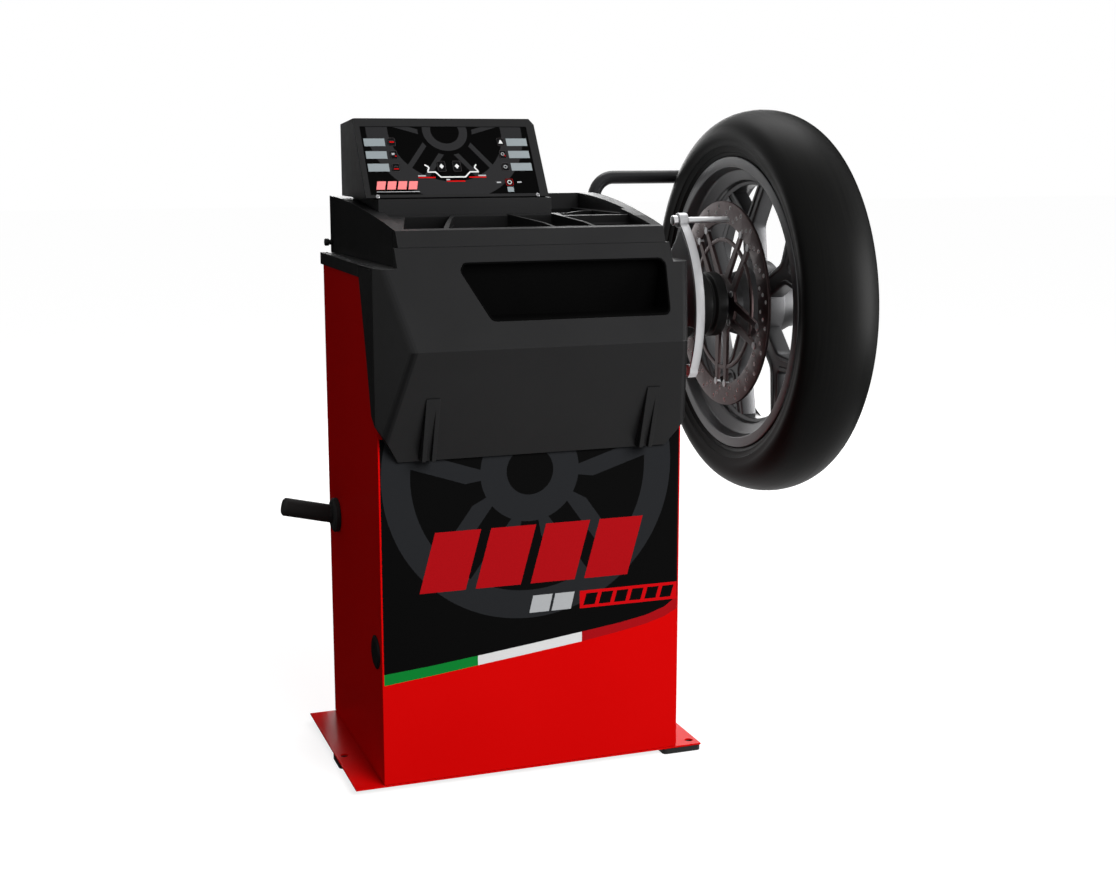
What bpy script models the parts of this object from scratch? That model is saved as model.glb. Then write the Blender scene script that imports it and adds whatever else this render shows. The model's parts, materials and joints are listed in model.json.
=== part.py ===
"""Motorcycle wheel balancer with a mounted front wheel.

The model is built in the machine's own frame: X runs to the right from the
cabinet's left side, Y runs back from the front panel and Z rises from the
floor. The empty called machine carries that frame, and puts the world origin
on the floor under the middle of the whole machine.
"""
import math

import bmesh
import bpy
from mathutils import Matrix, Vector

# Driving dimensions, in metres.
CABINET_WIDTH = 0.455
CABINET_DEPTH = 0.332
LID_TOP = 0.750
FOOT_HEIGHT = 0.008
SHAFT_BACK = 0.170
SHAFT_DROP = 0.084
TYRE_DIAMETER = 0.600
TYRE_WIDTH = 0.120
RIM_DIAMETER = 0.457
RIM_WIDTH = 0.101
HUB_WIDTH = 0.116
WHEEL_REACH = 0.2075
BRAKE_DISC_DIAMETER = 0.320
DISPLAY_WIDTH = 0.274
DISPLAY_HEIGHT = 0.136
GUARD_TUBE_DIAMETER = 0.022

# Clearances and overruns shared by all pieces.
GAP = 0.0003
RUNNING_GAP = 0.0004
OVERRUN = 0.01
MERGE = 1e-6

# How finely round things are cut.
FINE = 48
MEDIUM = 32
COARSE = 24
SMALL = 12

FULL_TURN = 2 * math.pi


def clear_scene():
    for item in list(bpy.data.objects):
        bpy.data.objects.remove(item, do_unlink=True)


def paint(name, colour, roughness, metallic):
    """Return a Principled material of one plain finish."""
    made = bpy.data.materials.new(name)
    made.use_nodes = True
    shader = made.node_tree.nodes["Principled BSDF"]
    shader.inputs["Base Color"].default_value = (*colour, 1.0)
    shader.inputs["Roughness"].default_value = roughness
    shader.inputs["Metallic"].default_value = metallic
    made.diffuse_color = (*colour, 1.0)
    return made


def frame_at(name, parent, place, turn=(0.0, 0.0, 0.0)):
    """Add an empty that carries pieces, such as the ones on one axis."""
    carrier = bpy.data.objects.new(name, None)
    bpy.context.scene.collection.objects.link(carrier)
    carrier.parent = parent
    carrier.location = place
    carrier.rotation_euler = turn
    return carrier


def piece(name, mesh, finish, parent, place=(0.0, 0.0, 0.0), turn=(0.0, 0.0, 0.0)):
    """Turn a bmesh into a named piece and free the bmesh."""
    bmesh.ops.recalc_face_normals(mesh, faces=mesh.faces)
    data = bpy.data.meshes.new(name)
    mesh.to_mesh(data)
    mesh.free()
    data.shade_smooth()
    data.set_sharp_from_angle(angle=math.radians(30))
    if finish:
        data.materials.append(finish)
    made = bpy.data.objects.new(name, data)
    bpy.context.scene.collection.objects.link(made)
    made.parent = parent
    made.location = place
    made.rotation_euler = turn
    return made


def combine(target, mesh, operation):
    """Cut a bmesh out of a piece, or join it on, with a Boolean modifier."""
    count = len(target.modifiers)
    tool = piece(f"{target.name}.tool_{count}", mesh, None, target.parent)
    tool.location = target.location
    tool.rotation_euler = target.rotation_euler
    tool.hide_render = True
    tool.display_type = "WIRE"
    step = target.modifiers.new(f"{operation.lower()}_{count}", "BOOLEAN")
    step.operation = operation
    step.solver = "EXACT"
    step.object = tool
    return tool


def cut(target, mesh):
    return combine(target, mesh, "DIFFERENCE")


def join(target, mesh):
    return combine(target, mesh, "UNION")


def block(low, high):
    """Return a box between two corners."""
    mesh = bmesh.new()
    bmesh.ops.create_cube(mesh, size=1.0)
    low, high = Vector(low), Vector(high)
    bmesh.ops.scale(mesh, vec=high - low, verts=mesh.verts)
    bmesh.ops.translate(mesh, vec=(low + high) / 2, verts=mesh.verts)
    return mesh


def prism(outline, axis, start, end):
    """Return an outline in the plane across an axis, drawn out along that axis."""
    place = {
        "X": lambda u, v: Vector((start, u, v)),
        "Y": lambda u, v: Vector((u, start, v)),
        "Z": lambda u, v: Vector((u, v, start)),
    }[axis]
    along = {"X": Vector((1, 0, 0)), "Y": Vector((0, 1, 0)), "Z": Vector((0, 0, 1))}[axis]
    mesh = bmesh.new()
    face = mesh.faces.new([mesh.verts.new(place(u, v)) for u, v in outline])
    drawn = bmesh.ops.extrude_face_region(mesh, geom=[face])
    moved = [part for part in drawn["geom"] if isinstance(part, bmesh.types.BMVert)]
    bmesh.ops.translate(mesh, vec=along * (end - start), verts=moved)
    bmesh.ops.recalc_face_normals(mesh, faces=mesh.faces)
    return mesh


def turned(profile, steps, closed=True):
    """Spin a profile of (x, radius) points round the X axis.

    A profile that isn't closed starts and ends on the axis.
    """
    mesh = bmesh.new()
    points = [mesh.verts.new((x, 0.0, radius)) for x, radius in profile]
    pairs = list(zip(points, points[1:]))
    if closed:
        pairs.append((points[-1], points[0]))
    for first, second in pairs:
        mesh.edges.new((first, second))
    bmesh.ops.spin(
        mesh,
        geom=mesh.verts[:] + mesh.edges[:],
        cent=(0, 0, 0),
        axis=(1, 0, 0),
        angle=FULL_TURN,
        steps=steps,
        use_merge=True,
    )
    bmesh.ops.remove_doubles(mesh, verts=mesh.verts, dist=MERGE)
    bmesh.ops.recalc_face_normals(mesh, faces=mesh.faces)
    return mesh


def drum(start, end, radius, steps=MEDIUM):
    """Return a plain round bar along X."""
    return turned([(start, 0.0), (start, radius), (end, radius), (end, 0.0)], steps, closed=False)


def tube(start, end, outer, inner, steps=MEDIUM):
    """Return a plain round pipe along X."""
    return turned([(start, inner), (start, outer), (end, outer), (end, inner)], steps)


def moved(mesh, offset):
    bmesh.ops.translate(mesh, vec=Vector(offset), verts=mesh.verts)
    return mesh


def merged(meshes):
    """Put several bmeshes that don't touch into one."""
    whole = bmesh.new()
    for mesh in meshes:
        held = bpy.data.meshes.new("held")
        mesh.to_mesh(held)
        mesh.free()
        whole.from_mesh(held)
        bpy.data.meshes.remove(held)
    return whole


def trimmed(mesh, point, normal):
    """Cut off what lies on the normal's side of a plane, and close the cut."""
    geometry = mesh.verts[:] + mesh.edges[:] + mesh.faces[:]
    result = bmesh.ops.bisect_plane(
        mesh, geom=geometry, plane_co=Vector(point), plane_no=Vector(normal), clear_outer=True
    )
    rim = [part for part in result["geom_cut"] if isinstance(part, bmesh.types.BMEdge)]
    bmesh.ops.contextual_create(mesh, geom=rim)
    return mesh


def arc(centre, radius, first, last, steps):
    """Return points on a circle between two angles in degrees."""
    points = []
    for index in range(steps + 1):
        angle = math.radians(first + (last - first) * index / max(steps, 1))
        points.append((centre[0] + radius * math.cos(angle), centre[1] + radius * math.sin(angle)))
    return points


def rounded_box(low, high, radius, steps=3):
    """Return the outline of a rectangle with rounded corners."""
    left, bottom = low
    right, top = high
    points = arc((right - radius, top - radius), radius, 0, 90, steps)
    points += arc((left + radius, top - radius), radius, 90, 180, steps)
    points += arc((left + radius, bottom + radius), radius, 180, 270, steps)
    points += arc((right - radius, bottom + radius), radius, 270, 360, steps)
    return points


def bevelled(mesh, width, segments, keep):
    """Round the edges that a test on their two faces' normals picks."""
    chosen = [
        edge for edge in mesh.edges
        if len(edge.link_faces) == 2 and keep(edge.link_faces[0].normal, edge.link_faces[1].normal)
    ]
    bmesh.ops.bevel(
        mesh, geom=chosen, offset=width, segments=segments, affect="EDGES", profile=0.5, material=-1
    )
    return mesh


clear_scene()

# Finishes, with colours read from the photograph.
RED_PAINT = paint("red_paint", (0.58, 0.004, 0.004), 0.25, 0.0)
BLACK_PLASTIC = paint("black_plastic", (0.022, 0.022, 0.023), 0.42, 0.0)
BLACK_PAINT = paint("black_paint", (0.012, 0.012, 0.012), 0.35, 0.0)
RUBBER = paint("rubber", (0.015, 0.015, 0.015), 0.7, 0.0)
BRIGHT_STEEL = paint("bright_steel", (0.75, 0.75, 0.76), 0.25, 1.0)
GREY_STEEL = paint("grey_steel", (0.2, 0.2, 0.21), 0.45, 1.0)
CAST_GREY = paint("cast_grey", (0.09, 0.09, 0.095), 0.4, 0.6)
DISC_STEEL = paint("disc_steel", (0.28, 0.27, 0.27), 0.35, 1.0)
PANEL_FILM = paint("panel_film", (0.01, 0.01, 0.011), 0.25, 0.0)
KEY_FILM = paint("key_film", (0.03, 0.03, 0.033), 0.3, 0.0)
BOARD_GREEN = paint("board_green", (0.02, 0.12, 0.05), 0.5, 0.0)
MOTOR_GREY = paint("motor_grey", (0.16, 0.17, 0.18), 0.5, 0.0)

# Places that more than one piece shares.
SHEET = 0.002
LID_HEIGHT = 0.018
LID_SKIN = 0.003
LID_OVERHANG = 0.004
BASE_THICKNESS = 0.003
BASE_FLANGE = 0.0415
BASE_TOP = FOOT_HEIGHT + BASE_THICKNESS
SHELL_TOP = LID_TOP - LID_SKIN - GAP
SHAFT_HEIGHT = LID_TOP - SHAFT_DROP
SHAFT_RADIUS = 0.015
ARBOR_RADIUS = 0.0095
HUB_HALF = HUB_WIDTH / 2
NOSE_PAST_HUB = 0.0795
NOSE_REACH = WHEEL_REACH + HUB_HALF + NOSE_PAST_HUB
PEG_REACH = 0.088
ORIGIN_X = (CABINET_WIDTH + NOSE_REACH - PEG_REACH) / 2

machine = frame_at("machine", None, (-ORIGIN_X, -SHAFT_BACK, 0.0))
spindle_axis = frame_at("spindle_axis", machine, (CABINET_WIDTH, SHAFT_BACK, SHAFT_HEIGHT))
wheel_centre = frame_at("wheel_centre", spindle_axis, (WHEEL_REACH, 0.0, 0.0))


def base_and_feet():
    """The floor plate with its anchor holes, on three pads."""
    pad_width = 0.062
    pad_depth = 0.050
    pad_corner = 0.006
    left_pad_back = 0.110
    hole_radius = 0.006
    hole_from_edge = 0.0125
    hole_back = 0.018
    left = -BASE_FLANGE
    right = CABINET_WIDTH + BASE_FLANGE
    plate = piece(
        "base_plate",
        block((left, 0.0, FOOT_HEIGHT + GAP), (right, CABINET_DEPTH, BASE_TOP)),
        RED_PAINT,
        machine,
    )
    pads = {
        "foot_left": (left, left_pad_back),
        "foot_front_right": (right - pad_width, 0.0),
        "foot_rear_right": (right - pad_width, CABINET_DEPTH - pad_depth),
    }
    holes = {
        "foot_left": (left + hole_from_edge, left_pad_back + pad_depth / 2),
        "foot_front_right": (right - hole_from_edge, hole_back),
        "foot_rear_right": (right - hole_from_edge, CABINET_DEPTH - hole_back),
    }
    for name, (x, y) in pads.items():
        outline = rounded_box((x, y), (x + pad_width, y + pad_depth), pad_corner)
        pad = piece(name, prism(outline, "Z", 0.0, FOOT_HEIGHT), RUBBER, machine)
        ring = arc(holes[name], hole_radius, 0, 330, 11)
        cut(pad, prism(ring, "Z", -OVERRUN, FOOT_HEIGHT + OVERRUN))
        cut(plate, prism(ring, "Z", 0.0, BASE_TOP + OVERRUN))


SPINDLE_HOLE_RADIUS = 0.050
PLUG_RADIUS = 0.0245
PLUG_BACK = 0.033
PLUG_HEIGHT = 0.201
REAR_LIP = 0.016


def cabinet():
    """The folded sheet body: front, two sides and a lip down each rear edge."""
    width, depth = CABINET_WIDTH, CABINET_DEPTH
    outline = [
        (0.0, 0.0), (width, 0.0), (width, depth), (width - REAR_LIP, depth),
        (width - REAR_LIP, depth - SHEET), (width - SHEET, depth - SHEET), (width - SHEET, SHEET),
        (SHEET, SHEET), (SHEET, depth - SHEET), (REAR_LIP, depth - SHEET), (REAR_LIP, depth), (0.0, depth),
    ]
    shell = piece(
        "cabinet_shell", prism(outline, "Z", BASE_TOP + GAP, SHELL_TOP), RED_PAINT, machine
    )
    spindle_hole = moved(
        drum(-OVERRUN, OVERRUN, SPINDLE_HOLE_RADIUS), (width, SHAFT_BACK, SHAFT_HEIGHT)
    )
    cut(shell, spindle_hole)
    plug_neck = 0.020
    plug_lip = 0.003
    neck_reach = 0.006
    cut(shell, moved(drum(-OVERRUN, OVERRUN, plug_neck + GAP, COARSE), (0.0, PLUG_BACK, PLUG_HEIGHT)))
    profile = [
        (neck_reach, 0.0), (neck_reach, plug_neck), (-GAP, plug_neck), (-GAP, PLUG_RADIUS),
        (-plug_lip / 2, PLUG_RADIUS), (-plug_lip, plug_neck), (-plug_lip, 0.0),
    ]
    piece("side_plug", turned(profile, COARSE, closed=False), BLACK_PLASTIC, machine,
          (0.0, PLUG_BACK, PLUG_HEIGHT))


INLET_WIDTH = 0.048
INLET_HEIGHT = 0.058
INLET_LEFT = 0.060
INLET_BOTTOM = 0.150
PANEL_SHEET = 0.0015


def rear_cover():
    """The rear panel with its louvre slots, and the mains inlet with a rocker."""
    slot_width = 0.150
    slot_height = 0.006
    slot_step = 0.016
    slot_count = 6
    first_slot = 0.330
    back = CABINET_DEPTH + GAP
    panel = piece(
        "rear_panel",
        block((0.0, back, BASE_TOP + GAP), (CABINET_WIDTH, back + PANEL_SHEET, LID_TOP - LID_HEIGHT - GAP)),
        RED_PAINT,
        machine,
    )
    left = (CABINET_WIDTH - slot_width) / 2
    slots = []
    for index in range(slot_count):
        low = first_slot + index * slot_step
        outline = rounded_box((left, low), (left + slot_width, low + slot_height), slot_height / 2)
        slots.append(prism(outline, "Y", back - OVERRUN, back + OVERRUN))
    cut(panel, merged(slots))

    lip = 0.003
    lip_depth = 0.0025
    body_depth = 0.030
    hole_low = (INLET_LEFT, INLET_BOTTOM)
    hole_high = (INLET_LEFT + INLET_WIDTH, INLET_BOTTOM + INLET_HEIGHT)
    cut(panel, block((hole_low[0] - GAP, back - OVERRUN, hole_low[1] - GAP),
                     (hole_high[0] + GAP, back + OVERRUN, hole_high[1] + GAP)))
    face = back + PANEL_SHEET + GAP
    inlet = piece(
        "mains_inlet",
        block((hole_low[0] - lip, face, hole_low[1] - lip),
              (hole_high[0] + lip, face + lip_depth, hole_high[1] + lip)),
        BLACK_PLASTIC,
        machine,
    )
    join(inlet, block((hole_low[0], back - body_depth, hole_low[1]),
                      (hole_high[0], face + lip_depth / 2, hole_high[1])))
    socket_width = 0.026
    socket_height = 0.018
    socket_depth = 0.018
    socket_low = 0.008
    middle = INLET_LEFT + INLET_WIDTH / 2
    cut(inlet, block((middle - socket_width / 2, face - socket_depth, INLET_BOTTOM + socket_low),
                     (middle + socket_width / 2, face + OVERRUN, INLET_BOTTOM + socket_low + socket_height)))
    rocker_width = 0.020
    rocker_height = 0.014
    rocker_depth = 0.010
    rocker_rise = 0.018
    rocker_play = 0.0012
    axis_depth = 0.006
    pocket_depth = rocker_depth + rocker_play
    rocker_z = INLET_BOTTOM + INLET_HEIGHT - rocker_rise / 2 - rocker_play
    side = rocker_width / 2 + RUNNING_GAP
    well_low = (middle - side, face - pocket_depth, rocker_z - rocker_rise / 2)
    well_high = (middle + side, face + OVERRUN, rocker_z + rocker_rise / 2)
    cut(inlet, block(well_low, well_high))
    rocker_axis = frame_at("rocker_axis", machine, (middle, face - axis_depth, rocker_z))
    half = rocker_height / 2
    nose = 0.0085
    crest_share = 0.55
    outline = [
        (-axis_depth / 2, -half * crest_share), (-axis_depth / 2, half * crest_share),
        (0.0, half), (nose, half), (nose * crest_share, 0.0), (nose * crest_share, -half), (0.0, -half),
    ]
    piece("switch_rocker", prism(outline, "X", -rocker_width / 2, rocker_width / 2), RUBBER, rocker_axis)


def lid():
    """The black lid with a skirt round the cabinet's top and two grooves a side."""
    groove_width = 0.003
    groove_depth = 0.0012
    groove_places = (0.0015, 0.0070)
    low = LID_TOP - LID_HEIGHT
    left = -LID_OVERHANG
    right = CABINET_WIDTH + LID_OVERHANG
    back = CABINET_DEPTH + LID_OVERHANG
    skirt_front = SKIRT_TOP_BACK + GAP
    outline = [
        (skirt_front, low), (back, low), (back, LID_TOP), (GAP, LID_TOP),
        (GAP, LID_TOP - LID_SKIN), (skirt_front, LID_TOP - LID_SKIN),
    ]
    cover = piece("top_lid", prism(outline, "X", left, right), BLACK_PLASTIC, machine)
    cut(cover, block((-GAP, -OVERRUN, low - OVERRUN),
                     (CABINET_WIDTH + GAP, CABINET_DEPTH + GAP + PANEL_SHEET + GAP, LID_TOP - LID_SKIN)))
    grooves = []
    for place in groove_places:
        for x in (left + place, right - place - groove_width):
            grooves.append(block((x, -OVERRUN, LID_TOP - groove_depth),
                                 (x + groove_width, back - groove_width, LID_TOP + OVERRUN)))
    cut(cover, merged(grooves))


# The front hood, drawn from the side as (back, height) points.
HOOD_WALL = 0.003
HOOD_SKIRT = 0.0035
TRAY_RIM_RISE = 0.049
TRAY_LIP_DROP = 0.022
TRAY_LIP_OUT = 0.0095
UPPER_SLOPE_DROP = 0.1327
UNDERCUT_DROP = 0.032
LOWER_SLOPE_DROP = 0.130
TRAY_RIM = LID_TOP + TRAY_RIM_RISE
HOOD_TOP = TRAY_RIM - TRAY_LIP_DROP - GAP
HOOD_TOP_OUT = TRAY_LIP_OUT
CREASE_HEIGHT = HOOD_TOP - UPPER_SLOPE_DROP
CREASE_OUT = 0.0874
UNDERCUT_HEIGHT = CREASE_HEIGHT - UNDERCUT_DROP
UNDERCUT_OUT = 0.0715
HOOD_BOTTOM = UNDERCUT_HEIGHT - LOWER_SLOPE_DROP
HOOD_BOTTOM_OUT = 0.0046
SKIRT_TOP_BACK = 0.078
SKIRT_MIDDLE_BACK = 0.0485
SKIRT_LOW_BACK = 0.020
SKIRT_BACK_DEPTH = 0.020
SKIRT_MIDDLE_DROP = 0.001
SKIRT_LOW_RISE = 0.063
SKIRT_BOTTOM_RISE = 0.049
TAPER_RISE = 0.051
HOOD_TAPER_TOP = HOOD_BOTTOM + TAPER_RISE
HOOD_BOTTOM_INSET = 0.027
HOOD_CORNER_INSET = 0.030
HOOD_SHOULDER_INSET = 0.026
HOOD_CORNER_ROUND = 0.007


def hood_front(inset):
    """The hood's front line from the top down, moved in by a wall."""
    slope = math.hypot(CREASE_OUT - HOOD_TOP_OUT, HOOD_TOP - CREASE_HEIGHT)
    drop = inset * slope / (HOOD_TOP - CREASE_HEIGHT)
    return [
        (-HOOD_TOP_OUT + drop, HOOD_TOP),
        (-CREASE_OUT + drop, CREASE_HEIGHT),
        (-UNDERCUT_OUT + drop, UNDERCUT_HEIGHT),
        (-HOOD_BOTTOM_OUT + inset, HOOD_BOTTOM),
    ]


def hood_body(inset):
    """The hood's solid form, with its sides drawn in towards the front."""
    left = -HOOD_SKIRT + inset
    right = CABINET_WIDTH + HOOD_SKIRT - inset
    outline = hood_front(inset)
    if inset:
        over = OVERRUN * (CREASE_OUT - HOOD_TOP_OUT) / (HOOD_TOP - CREASE_HEIGHT)
        outline = [(0.0, HOOD_TOP + OVERRUN), (outline[0][0] + over, HOOD_TOP + OVERRUN)] + outline[1:]
        outline += [(0.0, HOOD_BOTTOM)]
        left, right = -HOOD_SKIRT, CABINET_WIDTH + HOOD_SKIRT
    else:
        outline = [(-GAP, HOOD_TOP)] + outline
        outline += [(-GAP, HOOD_BOTTOM), (-GAP, HOOD_BOTTOM + SKIRT_BOTTOM_RISE)]
        outline += [(SKIRT_LOW_BACK, HOOD_BOTTOM + SKIRT_LOW_RISE)]
        outline += [(SKIRT_MIDDLE_BACK, CREASE_HEIGHT - SKIRT_MIDDLE_DROP)]
        outline += [(SKIRT_TOP_BACK, LID_TOP - SKIRT_BACK_DEPTH), (SKIRT_TOP_BACK, SHELL_TOP)]
        outline += [(-GAP, SHELL_TOP)]
    mesh = prism(outline, "X", left, right)
    run = CREASE_OUT - HOOD_SKIRT
    rise = HOOD_CORNER_INSET + HOOD_SKIRT
    length = math.hypot(run, rise)
    across, along = run / length, -rise / length
    for side, edge in ((-1, -HOOD_SKIRT), (1, CABINET_WIDTH + HOOD_SKIRT)):
        point = (edge - side * inset / across, -HOOD_SKIRT, 0.0)
        trimmed(mesh, point, (side * across, along, 0.0))
    drop = HOOD_TAPER_TOP - HOOD_BOTTOM
    reach = HOOD_BOTTOM_INSET + HOOD_SKIRT
    length = math.hypot(drop, reach)
    for side, edge in ((-1, -HOOD_SKIRT), (1, CABINET_WIDTH + HOOD_SKIRT)):
        point = (edge - side * inset * length / drop, 0.0, HOOD_TAPER_TOP)
        trimmed(mesh, point, (side * drop / length, 0.0, -reach / length))
    return mesh


def shoulder_blocks(wall):
    """The space over the hood's two low shoulders, made bigger by a wall."""
    blocks = []
    inset = HOOD_SHOULDER_INSET + wall
    for low, high in ((-OVERRUN, inset), (CABINET_WIDTH - inset, CABINET_WIDTH + OVERRUN)):
        blocks.append(block((low, -CREASE_OUT, LID_TOP - wall), (high, OVERRUN, HOOD_TOP + 2 * OVERRUN)))
    return merged(blocks)


def front_hood():
    """The black front hood, a shell that hangs on the cabinet's face."""
    outer = hood_body(0.0)
    outer.normal_update()
    bevelled(
        outer, HOOD_CORNER_ROUND, 3,
        lambda a, b: (abs(a.x) > 0.85 and b.y < -0.5 and abs(b.x) < 0.1 and a.y < -0.1)
        or (abs(b.x) > 0.85 and a.y < -0.5 and abs(a.x) < 0.1 and b.y < -0.1),
    )
    bmesh.ops.triangulate(outer, faces=outer.faces)
    hood = piece("front_hood", outer, BLACK_PLASTIC, machine)
    hollow = cut(hood, hood_body(HOOD_WALL))
    cut(hollow, shoulder_blocks(HOOD_WALL))
    cut(hood, shoulder_blocks(0.0))
    cut(hood, block((-GAP, -GAP, 0.0), (CABINET_WIDTH + GAP, CABINET_DEPTH, SHELL_TOP + OVERRUN)))
    hood_pocket(hood)


def on_slope(height):
    """How far the hood's upper slope stands out at a height."""
    share = (HOOD_TOP - height) / (HOOD_TOP - CREASE_HEIGHT)
    return -(HOOD_TOP_OUT + (CREASE_OUT - HOOD_TOP_OUT) * share)


# The pocket's corners, as shares of the cabinet's width and of the upper slope.
POCKET_TOP_SHARE = 0.844
POCKET_BOTTOM_SHARE = 0.2638
POCKET_TOP_WIDTH_SHARES = (0.2352, 0.9187)
POCKET_BOTTOM_WIDTH_SHARES = (0.3209, 0.8967)
POCKET_ROUND = 0.010


def corner_arcs(corners, radius, steps=3):
    """Round the corners of a convex outline."""
    points = []
    count = len(corners)
    for index, corner in enumerate(corners):
        here = Vector(corner)
        before = (Vector(corners[index - 1]) - here).normalized()
        after = (Vector(corners[(index + 1) % count]) - here).normalized()
        half = before.angle(after) / 2
        middle = here + (before + after).normalized() * (radius / math.sin(half))
        start = here + before * (radius / math.tan(half)) - middle
        end = here + after * (radius / math.tan(half)) - middle
        for step in range(steps + 1):
            spoke = start.lerp(end, step / steps).normalized() * radius
            points.append(tuple(middle + spoke))
    return points


def pocket_outline(inset):
    """The pocket's outline on the cabinet's face, moved in by a wall."""
    top = CREASE_HEIGHT + UPPER_SLOPE_DROP * POCKET_TOP_SHARE
    bottom = CREASE_HEIGHT + UPPER_SLOPE_DROP * POCKET_BOTTOM_SHARE
    top_left, top_right = [CABINET_WIDTH * share for share in POCKET_TOP_WIDTH_SHARES]
    low_left, low_right = [CABINET_WIDTH * share for share in POCKET_BOTTOM_WIDTH_SHARES]
    corners = [
        (low_left + inset, bottom + inset), (low_right - inset, bottom + inset),
        (top_right - inset, top - inset), (top_left + inset, top - inset),
    ]
    return corner_arcs(corners, POCKET_ROUND - inset / 2)


def hood_pocket(hood):
    """The tray that is let into the hood's slope."""
    liner_wall = 0.002
    liner_back = 0.004
    cut(hood, prism(pocket_outline(0.0), "Y", -CREASE_OUT - OVERRUN, -GAP))
    liner = piece(
        "pocket_liner",
        prism(pocket_outline(GAP), "Y", -CREASE_OUT - OVERRUN, -liner_back),
        BLACK_PLASTIC,
        machine,
    )
    hollow = pocket_outline(GAP + liner_wall)
    cut(liner, prism(hollow, "Y", -CREASE_OUT - 2 * OVERRUN, -liner_back - liner_wall))
    outline = [
        (on_slope(LID_TOP + OVERRUN), LID_TOP + OVERRUN), (on_slope(CREASE_HEIGHT), CREASE_HEIGHT),
        (-CREASE_OUT - 2 * OVERRUN, CREASE_HEIGHT), (-CREASE_OUT - 2 * OVERRUN, LID_TOP + OVERRUN),
    ]
    cut(liner, prism(outline, "X", 0.0, CABINET_WIDTH))


def lower_slope(height):
    """How far the hood's lower slope stands out at a height."""
    share = (UNDERCUT_HEIGHT - height) / (UNDERCUT_HEIGHT - HOOD_BOTTOM)
    return -(UNDERCUT_OUT + (HOOD_BOTTOM_OUT - UNDERCUT_OUT) * share)


def clip_rails():
    """Two grooved rails on the hood's lower slope, which hold hand tools."""
    width = 0.020
    top_drop = 0.036
    bottom_rise = 0.002
    proud_top = 0.0015
    proud = 0.019
    groove = 0.008
    groove_drop = 0.016
    groove_depth = 0.008
    centre_inset = 0.066
    top = UNDERCUT_HEIGHT - top_drop
    bottom = HOOD_BOTTOM + bottom_rise
    groove_top = top - groove_drop
    top_front = lower_slope(top) - proud_top
    low_front = lower_slope(bottom) - proud
    outline = [
        (lower_slope(top) - GAP, top), (top_front, top), (low_front, bottom),
        (lower_slope(bottom) - GAP, bottom),
    ]
    share = (top - groove_top) / (top - bottom)
    channel = [
        (top_front + (low_front - top_front) * share, groove_top), (top_front - OVERRUN, bottom - OVERRUN),
        (low_front + groove_depth, bottom - OVERRUN), (low_front + groove_depth, bottom),
    ]
    for side, centre in (("left", centre_inset), ("right", CABINET_WIDTH - centre_inset)):
        rail = piece(
            f"clip_rail_{side}",
            prism(outline, "X", centre - width / 2, centre + width / 2),
            BLACK_PLASTIC,
            machine,
        )
        cut(rail, prism(channel, "X", centre - groove / 2, centre + groove / 2))


# The weight tray on the lid.
TRAY_REAR_INSET = 0.012
TRAY_FRONT_INSET = 0.031
TRAY_REAR_RISE = 0.086
TRAY_REAR = LID_TOP + TRAY_REAR_RISE
TRAY_BASE = LID_TOP + GAP
TRAY_WALL = 0.004
FIN_WIDTH = 0.015
FIN_CURVE = 1.6
BAY_FRONT = 0.012
BAY_BACK = 0.122
BAY_FLOOR_RISE = 0.014
SEAT_RISE = 0.062
PEDESTAL_FRONT = 0.128
PEDESTAL_HEIGHT = 0.025
PEDESTAL_SEAT = LID_TOP + SEAT_RISE
DISPLAY_LEFT = 0.022
DISPLAY_FOOT = PEDESTAL_SEAT + PEDESTAL_HEIGHT
DISPLAY_REAR_ROOM = 0.042
DISPLAY_BACK = CABINET_DEPTH - DISPLAY_REAR_ROOM


def fin_height(back):
    """The height of the tray's side fins at a distance back."""
    share = back / CABINET_DEPTH
    return TRAY_RIM + (TRAY_REAR - TRAY_RIM) * (1 - (1 - share) ** FIN_CURVE)


def tray_side(back, inset):
    """The tray's left side at a distance back, with a wall taken off."""
    share = back / CABINET_DEPTH
    return TRAY_FRONT_INSET + (TRAY_REAR_INSET - TRAY_FRONT_INSET) * share + inset


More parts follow.
